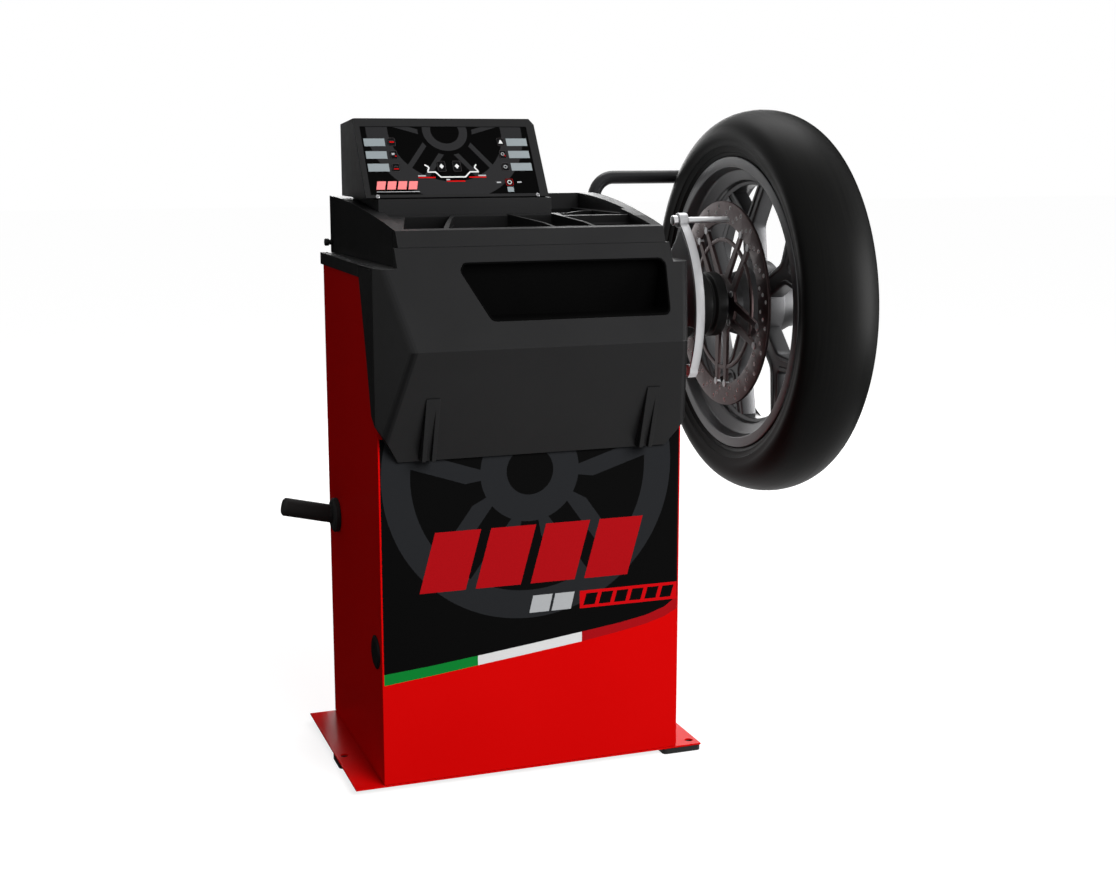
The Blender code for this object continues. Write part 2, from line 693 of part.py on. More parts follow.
def weight_tray():
    """The moulded tray: two side fins, bays for weights and a rear wall."""
    rim_back = 0.002
    stations = 8
    under = TRAY_RIM - TRAY_LIP_DROP
    outline = [(0.0, TRAY_BASE), (0.0, under), (-TRAY_LIP_OUT, under), (rim_back, TRAY_RIM)]
    for index in range(1, stations + 1):
        back = CABINET_DEPTH * index / stations
        outline.append((back, fin_height(back)))
    outline.append((CABINET_DEPTH, TRAY_BASE))
    mesh = prism(outline, "X", TRAY_REAR_INSET - OVERRUN, CABINET_WIDTH - TRAY_REAR_INSET + OVERRUN)
    lean = (TRAY_FRONT_INSET - TRAY_REAR_INSET) / CABINET_DEPTH
    across = 1 / math.hypot(1, lean)
    for side, edge in ((-1, TRAY_REAR_INSET), (1, CABINET_WIDTH - TRAY_REAR_INSET)):
        trimmed(mesh, (edge, CABINET_DEPTH, 0.0), (side * across, -lean * across, 0.0))
    tray = piece("weight_tray", mesh, BLACK_PLASTIC, machine)

    front_surface = 0.0006
    back_surface = 0.0150
    lowered = [
        (-TRAY_LIP_OUT - OVERRUN, TRAY_RIM + front_surface), (PEDESTAL_FRONT, TRAY_RIM + back_surface),
        (PEDESTAL_FRONT, TRAY_REAR + OVERRUN), (-TRAY_LIP_OUT - OVERRUN, TRAY_REAR + OVERRUN),
    ]
    side = tray_side(0.0, FIN_WIDTH)
    cut(tray, prism(lowered, "X", side, CABINET_WIDTH - side))
    inner_back = CABINET_DEPTH - TRAY_WALL
    side = tray_side(PEDESTAL_FRONT, FIN_WIDTH)
    high = TRAY_REAR + OVERRUN
    cut(tray, block((side, PEDESTAL_FRONT - GAP, PEDESTAL_SEAT), (CABINET_WIDTH - side, inner_back, high)))
    floor = LID_TOP + BAY_FLOOR_RISE
    cut(tray, merged([prism(outline, "Z", floor, high) for outline in bay_outlines().values()]))
    hollow_top = PEDESTAL_SEAT - TRAY_WALL
    cut(tray, block((side, BAY_BACK + TRAY_WALL, LID_TOP - OVERRUN),
                    (BIN_LEFT - TRAY_WALL, inner_back, hollow_top)))


BIN_SIDE_ROOM = 0.010
BIN_LEFT = DISPLAY_LEFT + DISPLAY_WIDTH + BIN_SIDE_ROOM
BIN_SPLIT = 0.100
RIB = 0.005
# Where the ribs between the left bays stand, as shares of the way to the bins.
FIRST_RIB_SHARES = (0.3399, 0.4771)
SECOND_RIB_SHARES = (0.8562, 0.7582)
LEFT_CORNER_SHARE = 0.2484
RIB_PAST_BIN = 0.016
RIB_SHORT_OF_BIN = 0.006
SIDE_BIN_LEFT_DEPTH = 0.045
SIDE_BIN_RIGHT_DEPTH = 0.135
CURVE_INSET = 0.012


def bay_outlines():
    """Plan outlines of the tray's bays, as (x, back) points."""
    left = tray_side(BAY_FRONT, FIN_WIDTH)
    right = CABINET_WIDTH - left
    first_front, first_back = [BIN_LEFT * share for share in FIRST_RIB_SHARES]
    second_front, second_back = [BIN_LEFT * share for share in SECOND_RIB_SHARES]
    third_front = BIN_LEFT + RIB_PAST_BIN
    third_back = BIN_LEFT - RIB_SHORT_OF_BIN
    corner = BIN_LEFT * LEFT_CORNER_SHARE
    half = RIB / 2
    inner_back = CABINET_DEPTH - TRAY_WALL
    far_right = CABINET_WIDTH - tray_side(BAY_BACK, FIN_WIDTH)
    curve = []
    curve_start = BIN_SPLIT + SIDE_BIN_LEFT_DEPTH
    curve_end = BIN_SPLIT + SIDE_BIN_RIGHT_DEPTH
    curve_right = far_right - CURVE_INSET
    steps = 6
    for index in range(steps + 1):
        share = index / steps
        ease = (1 - math.cos(math.pi * share)) / 2
        curve.append((BIN_LEFT + half + (curve_right - BIN_LEFT - half) * share,
                      curve_start + (curve_end - curve_start) * ease))
    return {
        "left": [(left, BAY_FRONT), (first_front - half, BAY_FRONT),
                 (first_back - half, BAY_BACK), (corner, BAY_BACK)],
        "middle": [(first_front + RIB, BAY_FRONT), (second_front - half, BAY_FRONT),
                   (second_back - half, BAY_BACK), (first_back + half, BAY_BACK)],
        "right": [(second_front + half, BAY_FRONT), (third_front - half, BAY_FRONT),
                  (third_back - half, BAY_BACK), (second_back + half, BAY_BACK)],
        "front_bin": [(third_front + half, BAY_FRONT), (right, BAY_FRONT), (right, BIN_SPLIT - half),
                      (BIN_LEFT + half, BIN_SPLIT - half)],
        "side_bin": [(BIN_LEFT + half, BIN_SPLIT + half), (right, BIN_SPLIT + half)]
        + [(x, y - half) for x, y in reversed(curve)],
        "rear_bin": [(BIN_LEFT + half, inner_back)] + [(x, y + half) for x, y in curve]
        + [(curve_right, inner_back)],
    }


# The display, whose face leans back. Its own frame has x to the right,
# y into the case and z up the face.
DISPLAY_LEAN = 33.4
BEZEL = 0.003
CASE_WALL = 0.0025
CASE_BACK_HEIGHT = 0.106
FRAME_LEFT = 0.0075
FRAME_BOTTOM = 0.0070
FRAME_RIGHT = 0.0130
FRAME_TOP = 0.0138
WINDOW_LOW = (FRAME_LEFT, FRAME_BOTTOM)
WINDOW_HIGH = (DISPLAY_WIDTH - FRAME_RIGHT, DISPLAY_HEIGHT - FRAME_TOP)
BOARD_DEPTH = 0.0070


def display():
    """The pedestal, case, bezel, film panel and board of the display."""
    lean = math.radians(DISPLAY_LEAN)
    pedestal_left = tray_side(PEDESTAL_FRONT, FIN_WIDTH) + GAP
    pedestal_right = BIN_LEFT - RIB_SHORT_OF_BIN - GAP
    piece(
        "display_pedestal",
        block((pedestal_left, PEDESTAL_FRONT, PEDESTAL_SEAT + GAP),
              (pedestal_right, DISPLAY_BACK, DISPLAY_FOOT - GAP)),
        BLACK_PLASTIC,
        machine,
    )
    right = DISPLAY_LEFT + DISPLAY_WIDTH
    shift = (BEZEL + GAP) / math.cos(lean)
    top_back = DISPLAY_FOOT + CASE_BACK_HEIGHT
    foot = (PEDESTAL_FRONT + shift, DISPLAY_FOOT)
    crown = (foot[0] + DISPLAY_HEIGHT * math.sin(lean), foot[1] + DISPLAY_HEIGHT * math.cos(lean))
    place = (DISPLAY_LEFT, PEDESTAL_FRONT, DISPLAY_FOOT)
    side, top = DISPLAY_WIDTH, DISPLAY_HEIGHT
    corner = 0.0065
    corner_drop = 0.0104
    onto_face = Matrix.Translation(place) @ Matrix.Rotation(-lean, 4, "X")
    off_start = onto_face @ Vector((side - corner, BEZEL + GAP, top))
    off_end = onto_face @ Vector((side, BEZEL + GAP, top - corner_drop))
    along_top = Vector((0.0, DISPLAY_BACK - crown[0], top_back - crown[1]))
    off_side = (off_start - off_end).cross(along_top).normalized()
    off_side *= math.copysign(1.0, off_side.x)
    outline = [foot, crown, (DISPLAY_BACK, top_back), (DISPLAY_BACK, DISPLAY_FOOT)]
    whole = trimmed(prism(outline, "X", DISPLAY_LEFT, right), off_start, off_side)
    case = piece("display_case", whole, BLACK_PLASTIC, machine)
    inner = [
        (foot[0] - OVERRUN, foot[1] + CASE_WALL), (crown[0] - OVERRUN, crown[1] - CASE_WALL),
        (crown[0], crown[1] - CASE_WALL), (DISPLAY_BACK - CASE_WALL, top_back - CASE_WALL),
        (DISPLAY_BACK - CASE_WALL, DISPLAY_FOOT + CASE_WALL),
    ]
    room = prism(inner, "X", DISPLAY_LEFT + CASE_WALL, right - CASE_WALL)
    cut(case, trimmed(room, off_start - off_side * CASE_WALL, off_side))

    face = frame_at("display_face", machine, place, (-lean, 0.0, 0.0))
    foot_rise = BEZEL * math.tan(lean) + GAP
    small_corner = 0.002
    outline = [
        (0.0, foot_rise), (side, foot_rise), (side, top - corner_drop), (side - corner, top),
        (small_corner, top), (0.0, top - small_corner),
    ]
    bezel = piece("display_bezel", prism(outline, "Y", 0.0, BEZEL), BLACK_PLASTIC, face)
    cut(bezel, block((WINDOW_LOW[0], -OVERRUN, WINDOW_LOW[1]), (WINDOW_HIGH[0], OVERRUN, WINDOW_HIGH[1])))
    post = 0.004
    post_low = 0.018
    post_drop = 0.028
    post_high = DISPLAY_HEIGHT - post_drop
    for x in (CASE_WALL + GAP, DISPLAY_WIDTH - CASE_WALL - GAP - post):
        for z in (post_low, post_high):
            join(bezel, block((x, BEZEL / 2, z), (x + post, BOARD_DEPTH - GAP, z + post)))

    film_depth = 0.0012
    film = piece(
        "film_panel",
        block((WINDOW_LOW[0] + GAP, film_depth, WINDOW_LOW[1] + GAP),
              (WINDOW_HIGH[0] - GAP, BEZEL - GAP, WINDOW_HIGH[1] - GAP)),
        PANEL_FILM,
        face,
    )
    board_sheet = 0.0016
    piece(
        "display_board",
        block((CASE_WALL + GAP, BOARD_DEPTH, post_low - post),
              (DISPLAY_WIDTH - CASE_WALL - GAP, BOARD_DEPTH + board_sheet, post_high + post)),
        BOARD_GREEN,
        face,
    )
    keys(face, film, film_depth)


ICON_KEY = 0.0115
START_KEY = (0.0124, 0.0126)
CENTRE_KEY = (0.0133, 0.0155)
KEY_TRAVEL = 0.0006
LEFT_KEYS_SHARE = 0.1872
RIGHT_KEYS_SHARE = 0.7898
KEY_ROW_SHARES = {"top": 0.7044, "middle": 0.5456, "low": 0.3890}
# The other keys' places, as shares of the display's width and height.
CENTRE_KEY_SHARES = {"left": (0.4350, 0.3993), "right": (0.5197, 0.3993)}
START_KEY_SHARES = (0.7949, 0.1941)


def key_places():
    """Each key's name, with its middle on the display's face, its width and its height."""
    places = {}
    for row, rise in KEY_ROW_SHARES.items():
        for side, across in (("left", LEFT_KEYS_SHARE), ("right", RIGHT_KEYS_SHARE)):
            places[f"key_{side}_{row}"] = (across, rise, ICON_KEY, ICON_KEY)
    for side, shares in CENTRE_KEY_SHARES.items():
        places[f"key_centre_{side}"] = (*shares, *CENTRE_KEY)
    places["key_start"] = (*START_KEY_SHARES, *START_KEY)
    return places


def keys(face, film, film_depth):
    """Nine keys that stand a little proud of the film and press in."""
    proud = 0.0007
    corner = 0.0012
    foot_gap = 0.0004
    holes = []
    back = BOARD_DEPTH - film_depth - KEY_TRAVEL - foot_gap
    for name, (x_share, z_share, width, height) in key_places().items():
        x = DISPLAY_WIDTH * x_share
        z = DISPLAY_HEIGHT * z_share
        across, rise = width / 2, height / 2
        outline = rounded_box((-across, -rise), (across, rise), corner, 1)
        piece(name, prism(outline, "Y", -proud, back), KEY_FILM, face, (x, film_depth, z))
        across, rise = across + GAP, rise + GAP
        outline = rounded_box((x - across, z - rise), (x + across, z + rise), corner, 1)
        holes.append(prism(outline, "Y", -OVERRUN, OVERRUN))
    cut(film, merged(holes))


PEG_FROM_REAR = 0.058
PEG_HEIGHT = 0.349


def accessory_peg():
    """The peg on the left side that holds cones, on its round collar."""
    tilt = math.radians(13)
    radius = 0.014
    end_round = 0.003
    collar_radius = 0.0265
    collar_depth = 0.010
    collar_edge = 0.003
    collar = [
        (-GAP, 0.0), (-GAP, collar_radius), (collar_edge - collar_depth, collar_radius),
        (-collar_depth, collar_radius - collar_edge), (-collar_depth, 0.0),
    ]
    place = (0.0, CABINET_DEPTH - PEG_FROM_REAR, PEG_HEIGHT)
    peg = piece("accessory_peg", turned(collar, COARSE, closed=False), RUBBER, machine, place)
    length = PEG_REACH / math.cos(tilt) - (radius - end_round) * math.tan(tilt)
    bar = turned(
        [(-collar_depth / 2, 0.0), (-collar_depth / 2, radius), (end_round - length, radius),
         (-length, radius - end_round), (-length, 0.0)],
        COARSE,
        closed=False,
    )
    turn = Vector((0, 1, 0))
    bmesh.ops.rotate(bar, verts=bar.verts, cent=(0, 0, 0), matrix=Matrix.Rotation(tilt, 3, turn))
    join(peg, bar)


# The spindle, along x from the cabinet's right side.
HOUSING_RADIUS = 0.040
HOUSING_BORE = 0.031
HOUSING_LENGTH = 0.249
HOUSING_END = 0.014
HOUSING_START = HOUSING_END - HOUSING_LENGTH
FLANGE_PAST_HOUSING = 0.0085
FLANGE_FACE = HOUSING_END + FLANGE_PAST_HOUSING
SPIGOT_LENGTH = 0.011
SPIGOT_END = FLANGE_FACE + SPIGOT_LENGTH
SPIGOT_RADIUS = 0.020
ARM_SHEET = 0.006
ARM_PAST_DISC = 0.010
ARM_OUTER = BRAKE_DISC_DIAMETER / 2 + ARM_PAST_DISC
ARM_BAR = 0.005
ARM_WIDTH = 0.014
ARM_TOP_ANGLE = 53
ARM_LOW_ANGLE = -33
HUB_BORE = 0.0150
CONE_SLOPE = math.tan(math.radians(30))
CONE_NOSE = 0.006
PULLEY_WIDTH = 0.016
PULLEY_PAST_HOUSING = 0.011
PULLEY_END = HOUSING_START - PULLEY_PAST_HOUSING
PULLEY_START = PULLEY_END - PULLEY_WIDTH
PULLEY_RADIUS = 0.055
PULLEY_GROOVE = 0.002
PULLEY_RIM = 0.0025
ENCODER_PAST_PULLEY = 0.0155
ENCODER_PLACE = PULLEY_START - ENCODER_PAST_PULLEY
ENCODER_SHEET = 0.0015
ENCODER_RADIUS = 0.035


def spindle():
    """The housing with its two bearings, and what turns in it."""
    bearing_width = 0.016
    collar_radius = 0.046
    collar_start = 0.004
    housing = [
        (HOUSING_START, HOUSING_BORE), (HOUSING_START, HOUSING_RADIUS), (collar_start, HOUSING_RADIUS),
        (collar_start, collar_radius), (HOUSING_END, collar_radius), (HOUSING_END, HOUSING_BORE),
    ]
    piece("spindle_housing", turned(housing, MEDIUM), GREY_STEEL, spindle_axis)
    inset = 0.004
    bore = SHAFT_RADIUS + RUNNING_GAP
    starts = {"rear_bearing": HOUSING_START + inset, "front_bearing": HOUSING_END - inset - bearing_width}
    for name, start in starts.items():
        ring = tube(start, start + bearing_width, HOUSING_BORE - GAP, bore)
        piece(name, ring, BRIGHT_STEEL, spindle_axis)
    tail_past_encoder = 0.0065
    tail = ENCODER_PLACE - tail_past_encoder
    tail_radius = 0.010
    flange_radius = 0.042
    flange_sheet = 0.006
    chamfer = 0.003
    shaft = [
        (tail, 0.0), (tail, tail_radius), (PULLEY_END, tail_radius), (PULLEY_END, SHAFT_RADIUS),
        (FLANGE_FACE - flange_sheet, SHAFT_RADIUS), (FLANGE_FACE - flange_sheet, flange_radius),
        (FLANGE_FACE, flange_radius), (FLANGE_FACE, SPIGOT_RADIUS), (SPIGOT_END, SPIGOT_RADIUS),
        (SPIGOT_END, ARBOR_RADIUS), (NOSE_REACH - chamfer, ARBOR_RADIUS),
        (NOSE_REACH, ARBOR_RADIUS - chamfer), (NOSE_REACH, 0.0),
    ]
    piece("spindle_shaft", turned(shaft, MEDIUM, closed=False), BRIGHT_STEEL, spindle_axis)
    bore = tail_radius + GAP
    flange = PULLEY_RADIUS + PULLEY_GROOVE
    end = PULLEY_END - GAP
    pulley = [
        (PULLEY_START, bore), (PULLEY_START, flange), (PULLEY_START + PULLEY_RIM, flange),
        (PULLEY_START + PULLEY_RIM, PULLEY_RADIUS), (end - PULLEY_RIM, PULLEY_RADIUS),
        (end - PULLEY_RIM, flange), (end, flange), (end, bore),
    ]
    piece("spindle_pulley", turned(pulley, MEDIUM), GREY_STEEL, spindle_axis)
    hub = 0.018
    face = ENCODER_PLACE + ENCODER_SHEET
    disc = [
        (ENCODER_PLACE, bore), (ENCODER_PLACE, ENCODER_RADIUS), (face, ENCODER_RADIUS), (face, hub),
        (PULLEY_START - GAP, hub), (PULLEY_START - GAP, bore),
    ]
    piece("encoder_disc", turned(disc, MEDIUM), BLACK_PAINT, spindle_axis)


def polar(radius, degrees):
    """A (back, up) point in the wheel's plane, with the angle from the front upwards."""
    angle = math.radians(degrees)
    return (-radius * math.cos(angle), radius * math.sin(angle))


def sweep(radius, first, last, steps):
    return [polar(radius, first + (last - first) * index / steps) for index in range(steps + 1)]


def drive_arm():
    """The balanced arm plate, its bowed bar and the pin that drives the wheel."""
    plate_low_angle = -6
    plate_top_angle = 49
    plate_inner = 0.044
    waist_angle = 12
    balance_inset = 0.0255
    balance_radius = ARM_OUTER - balance_inset
    balance_half = 60
    balance_middle = (plate_top_angle + plate_low_angle) / 2 + 180
    balance_low = balance_middle - balance_half
    balance_high = balance_middle + balance_half
    inside = ARM_OUTER - ARM_BAR
    outline = sweep(inside - GAP, plate_low_angle, plate_top_angle, 8)
    outline += sweep(plate_inner, plate_top_angle + waist_angle, balance_low - waist_angle, 4)
    outline += sweep(balance_radius, balance_low, balance_high, 12)
    outline += sweep(plate_inner, balance_high + waist_angle, plate_low_angle + 360 - waist_angle, 3)
    start = FLANGE_FACE + GAP
    plate = piece("drive_arm_plate", prism(outline, "X", start, start + ARM_SHEET), GREY_STEEL, spindle_axis)
    cut(plate, drum(0.0, ARM_WIDTH + start, SPIGOT_RADIUS + GAP))

    pin_radius = 0.0047
    eye_radius = 0.011
    low_eye_radius = 0.009
    pin_turn = 1.6
    low_eye_turn = 3
    pin_angle = ARM_TOP_ANGLE + pin_turn
    low_eye_angle = ARM_LOW_ANGLE + low_eye_turn
    outline = sweep(ARM_OUTER, ARM_LOW_ANGLE, ARM_TOP_ANGLE, 20)
    outline += sweep(inside, ARM_TOP_ANGLE, ARM_LOW_ANGLE, 20)
    bar = piece("drive_arm_bow", prism(outline, "X", start, start + ARM_WIDTH), BRIGHT_STEEL, spindle_axis)
    middle = ARM_OUTER - ARM_BAR / 2
    pin_place = polar(middle, pin_angle)
    low_place = polar(middle - ARM_BAR, low_eye_angle)
    eye = moved(drum(start, start + ARM_WIDTH, eye_radius, COARSE), (0.0, *pin_place))
    join(bar, eye)
    cut(bar, moved(drum(-OVERRUN, start + ARM_WIDTH + OVERRUN, pin_radius + GAP, SMALL), (0.0, *pin_place)))
    join(bar, moved(drum(start, start + ARM_WIDTH, low_eye_radius, SMALL), (0.0, *low_place)))

    head_radius = 0.0075
    head_depth = 0.008
    pin_short_of_hub = 0.0425
    pin_reach = WHEEL_REACH - HUB_HALF - pin_short_of_hub
    shoulder = start - GAP
    pin_end_round = 0.002
    profile = [
        (shoulder - head_depth, 0.0), (shoulder - head_depth, head_radius), (shoulder, head_radius),
        (shoulder, pin_radius), (pin_reach - pin_end_round, pin_radius),
        (pin_reach, pin_radius - pin_end_round), (pin_reach, 0.0),
    ]
    piece("drive_pin", turned(profile, SMALL, closed=False), BRIGHT_STEEL, spindle_axis, (0.0, *pin_place))


def cone_profile(face, side, base):
    """The tapered end that centres a wheel's hub, as (x, radius) from its base to its tip."""
    seat = HUB_BORE - GAP
    root = seat + abs(face - base) * CONE_SLOPE
    tip = face + side * CONE_NOSE
    return [(base, root), (tip, seat - CONE_NOSE * CONE_SLOPE)]


def cones_and_nut():
    """The ribbed inner cone on the shaft, and the outer cone with its quick nut."""
    bore = ARBOR_RADIUS + RUNNING_GAP
    face = WHEEL_REACH - HUB_HALF
    start = FLANGE_FACE + ARM_SHEET + 3 * GAP
    inner_taper = 0.015
    spigot = SPIGOT_RADIUS + GAP
    neck = 0.043
    big = 0.0525
    less = 0.0012
    rib_shares = [(0.165, 0.505), (0.571, 0.750), (0.8066, 1.0)]
    barrel_start = FLANGE_FACE + ARM_SHEET
    barrel_end = face - inner_taper
    edge = 0.002
    profile = [(start, spigot), (start, neck)]
    for index, shares in enumerate(rib_shares):
        low, high = [barrel_start + (barrel_end - barrel_start) * share for share in shares]
        radius = big - index * less
        profile += [(low, neck), (low + edge, radius), (high - edge, radius), (high, neck)]
    taper = cone_profile(face, 1, barrel_end)
    profile += taper + [(taper[1][0], bore), (SPIGOT_END + GAP, bore), (SPIGOT_END + GAP, spigot)]
    piece("inner_cone", turned(profile, MEDIUM), RUBBER, spindle_axis)

    face = WHEEL_REACH + HUB_HALF
    outer_taper = 0.0195
    cone_band = 0.015
    base = face + outer_taper
    taper = cone_profile(face, -1, base)
    cone_end = base + cone_band
    cone_radius = 0.032
    profile = [(taper[1][0], bore), taper[1], taper[0], (taper[0][0], cone_radius)]
    profile += [(cone_end, cone_radius), (cone_end, bore)]
    piece("outer_cone", turned(profile, MEDIUM), GREY_STEEL, spindle_axis)
    nut_length = 0.038
    nut_end = cone_end + nut_length
    nut_neck = 0.022
    lobe_inner = 0.026
    lobe_outer = 0.034
    neck_length = 0.007
    lobe_end = nut_end - neck_length
    lobes = 4
    profile = [(cone_end + GAP, bore), (cone_end + GAP, nut_neck), (nut_end, nut_neck), (nut_end, bore)]
    nut = piece("quick_nut", turned(profile, COARSE), BLACK_PLASTIC, spindle_axis)
    outline = []
    for index in range(lobes * 8):
        angle = 360 * index / (lobes * 8)
        swell = (1 + math.cos(math.radians(angle * lobes))) / 2
        outline.append(polar(lobe_inner + (lobe_outer - lobe_inner) * swell, angle))
    grip = prism(outline, "X", cone_end + 5 * GAP, lobe_end)
    join(nut, grip)
    cut(nut, drum(cone_end - OVERRUN, nut_end + OVERRUN, bore, COARSE))


RIM_RADIUS = RIM_DIAMETER / 2
RIM_HALF = RIM_WIDTH / 2
RIM_WALL = 0.0055
WELL_DEPTH = 0.0325
HUB_NECK = 0.056
SPOKE_COUNT = 5
BIG_WINDOW_ANGLE = 63


def wheel():
    """The cast wheel with its tyre, brake disc and disc carrier."""
    flange = 0.005
    flange_rise = 0.0135
    seat_width = 0.016
    seat_fall = 0.001
    well_radius = RIM_RADIUS - WELL_DEPTH
    well_half = 0.021
    wall = RIM_WALL
    shoulder = RIM_HALF - flange - seat_width
    seat = RIM_RADIUS - flange_rise
    web_out = 0.012
    web_in = 0.016
    hub_left = 0.046
    hub_right = 0.040
    disc_seat = 0.010
    inner = well_radius - wall
    outside = [
        (RIM_HALF, RIM_RADIUS), (RIM_HALF - flange, RIM_RADIUS), (RIM_HALF - flange, seat),
        (shoulder, seat - seat_fall), (well_half, well_radius),
    ]
    inside = [
        (RIM_HALF, seat - wall / 2), (shoulder + wall / 2, seat - seat_fall - wall),
        (well_half + wall / 2, inner), (web_out, inner), (web_in, HUB_NECK),
    ]
    right = inside + [(HUB_HALF, hub_right), (HUB_HALF, HUB_BORE)]
    left = inside + [(HUB_HALF - disc_seat, hub_left), (HUB_HALF, hub_left), (HUB_HALF, HUB_BORE)]
    profile = [(-x, radius) for x, radius in outside] + list(reversed(outside)) + right
    profile += [(-x, radius) for x, radius in reversed(left)]
    rim = piece("wheel_rim", turned(profile, FINE), CAST_GREY, wheel_centre)
    windows = []
    for index in range(SPOKE_COUNT):
        middle = BIG_WINDOW_ANGLE + 360 * index / SPOKE_COUNT
        windows.append(big_window(middle, inner))
        windows.append(fork_window(middle + 180 / SPOKE_COUNT, inner))
    cut(rim, merged(windows))

    crown = TYRE_DIAMETER / 2
    half = TYRE_WIDTH / 2
    bead = RIM_HALF - flange - GAP
    side_share = 0.4685
    side_height = RIM_RADIUS + (crown - RIM_RADIUS) * side_share
    side_lean = 10
    steps = 5
    rubber = 0.009
    outer = [(bead, seat + GAP), (bead, RIM_RADIUS + 2 * GAP), (RIM_HALF, RIM_RADIUS + flange)]
    for index in range(steps + 1):
        angle = math.radians(90 * index / steps - side_lean * (1 - index / steps))
        outer.append((half * math.cos(angle), side_height + (crown - side_height) * math.sin(angle)))
    outer[-1] = (0.0, crown)
    hollow = []
    for index in range(steps):
        angle = math.radians(90 * index / (steps - 1))
        hollow.append(((half - rubber) * math.cos(angle),
                       side_height + (crown - rubber - side_height) * math.sin(angle)))
    hollow[-1] = (0.0, crown - rubber)
    toe = shoulder + 2 * GAP
    hollow = [(toe, seat + GAP)] + [(toe + rubber / 2, RIM_RADIUS)] + hollow
    profile = outer + [(-x, radius) for x, radius in reversed(outer[:-1])]
    profile += [(-x, radius) for x, radius in hollow] + list(reversed(hollow[:-1]))
    piece("tyre", turned(profile, FINE), RUBBER, wheel_centre)
    brake_disc()


WINDOW_RIM = 0.006
WINDOW_HUB = 0.010
FORK_SHARE = 0.6194
FORK_POINT_SHARE = 0.7349
SPOKE_ARM_HALF = 0.011


def window_cutter(points):
    return prism(points, "X", -RIM_HALF, RIM_HALF)


def big_window(middle, rim_inner):
    """The opening between two forked spokes."""
    outer = rim_inner - WINDOW_RIM
    inner = HUB_NECK + WINDOW_HUB
    fork = rim_inner * FORK_SHARE
    stem_half = 0.017
    arm_half = SPOKE_ARM_HALF
    pitch = 180 / SPOKE_COUNT
    at_outer = pitch / 2 - math.degrees(math.asin(arm_half / outer))
    at_fork = pitch - math.degrees(math.asin(stem_half / fork))
    at_inner = pitch - math.degrees(math.asin(stem_half / inner))
    points = sweep(outer, middle - at_outer, middle + at_outer, 4)
    points.append(polar(fork, middle + at_fork))
    points += sweep(inner, middle + at_inner, middle - at_inner, 3)
    points.append(polar(fork, middle - at_fork))
    return window_cutter(points)


def fork_window(middle, rim_inner):
    """The small opening inside a fork."""
    outer = rim_inner - WINDOW_RIM
    point = rim_inner * FORK_POINT_SHARE
    arm_half = SPOKE_ARM_HALF
    tip_half = 0.003
    pitch = 180 / SPOKE_COUNT
    at_outer = pitch / 2 - math.degrees(math.asin(arm_half / outer))
    at_point = math.degrees(math.asin(tip_half / point))
    points = sweep(outer, middle - at_outer, middle + at_outer, 4)
    points += sweep(point, middle + at_point, middle - at_point, 1)
    return window_cutter(points)


def brake_disc():
    """The ring that the pads grip, and the spider that carries it."""
    radius = BRAKE_DISC_DIAMETER / 2
    ring_width = 0.034
    ring_inner = radius - ring_width
    thickness = 0.005
    carrier_hole = 0.030
    carrier_outer = 0.046
    arms = 10
    skew = 11
    root_half = 0.007
    tip_half = 0.0045
    left = -(HUB_HALF + GAP + thickness)
    piece("brake_disc", tube(left, left + thickness, radius, ring_inner, FINE), DISC_STEEL, wheel_centre)
    outline = []
    tip = ring_inner - GAP
    for index in range(arms):
        root = 360 * index / arms
        end = root + (skew if index % 2 else -skew)
        root_spread = math.degrees(root_half / carrier_outer)
        tip_spread = math.degrees(tip_half / tip)
        outline += [polar(carrier_outer, root - root_spread), polar(tip, end - tip_spread)]
        outline += [polar(tip, end + tip_spread), polar(carrier_outer, root + root_spread)]
    carrier = piece("disc_carrier", prism(outline, "X", left, left + thickness), CAST_GREY, wheel_centre)
    cut(carrier, drum(left - OVERRUN, left + thickness + OVERRUN, carrier_hole, COARSE))


SHELF_DROP = 0.091
SHELF_SHEET = 0.0035
SENSOR_HEIGHT = 0.021
SHELF_TOP = SHAFT_HEIGHT - SHELF_DROP
BRACKET_BASE = SHELF_TOP + SENSOR_HEIGHT
MOTOR_RADIUS = 0.050
MOTOR_ROOM = 0.0555
MOTOR_HEIGHT = SHELF_TOP - SHELF_SHEET - MOTOR_ROOM - MOTOR_RADIUS
MOTOR_PULLEY_RADIUS = 0.018


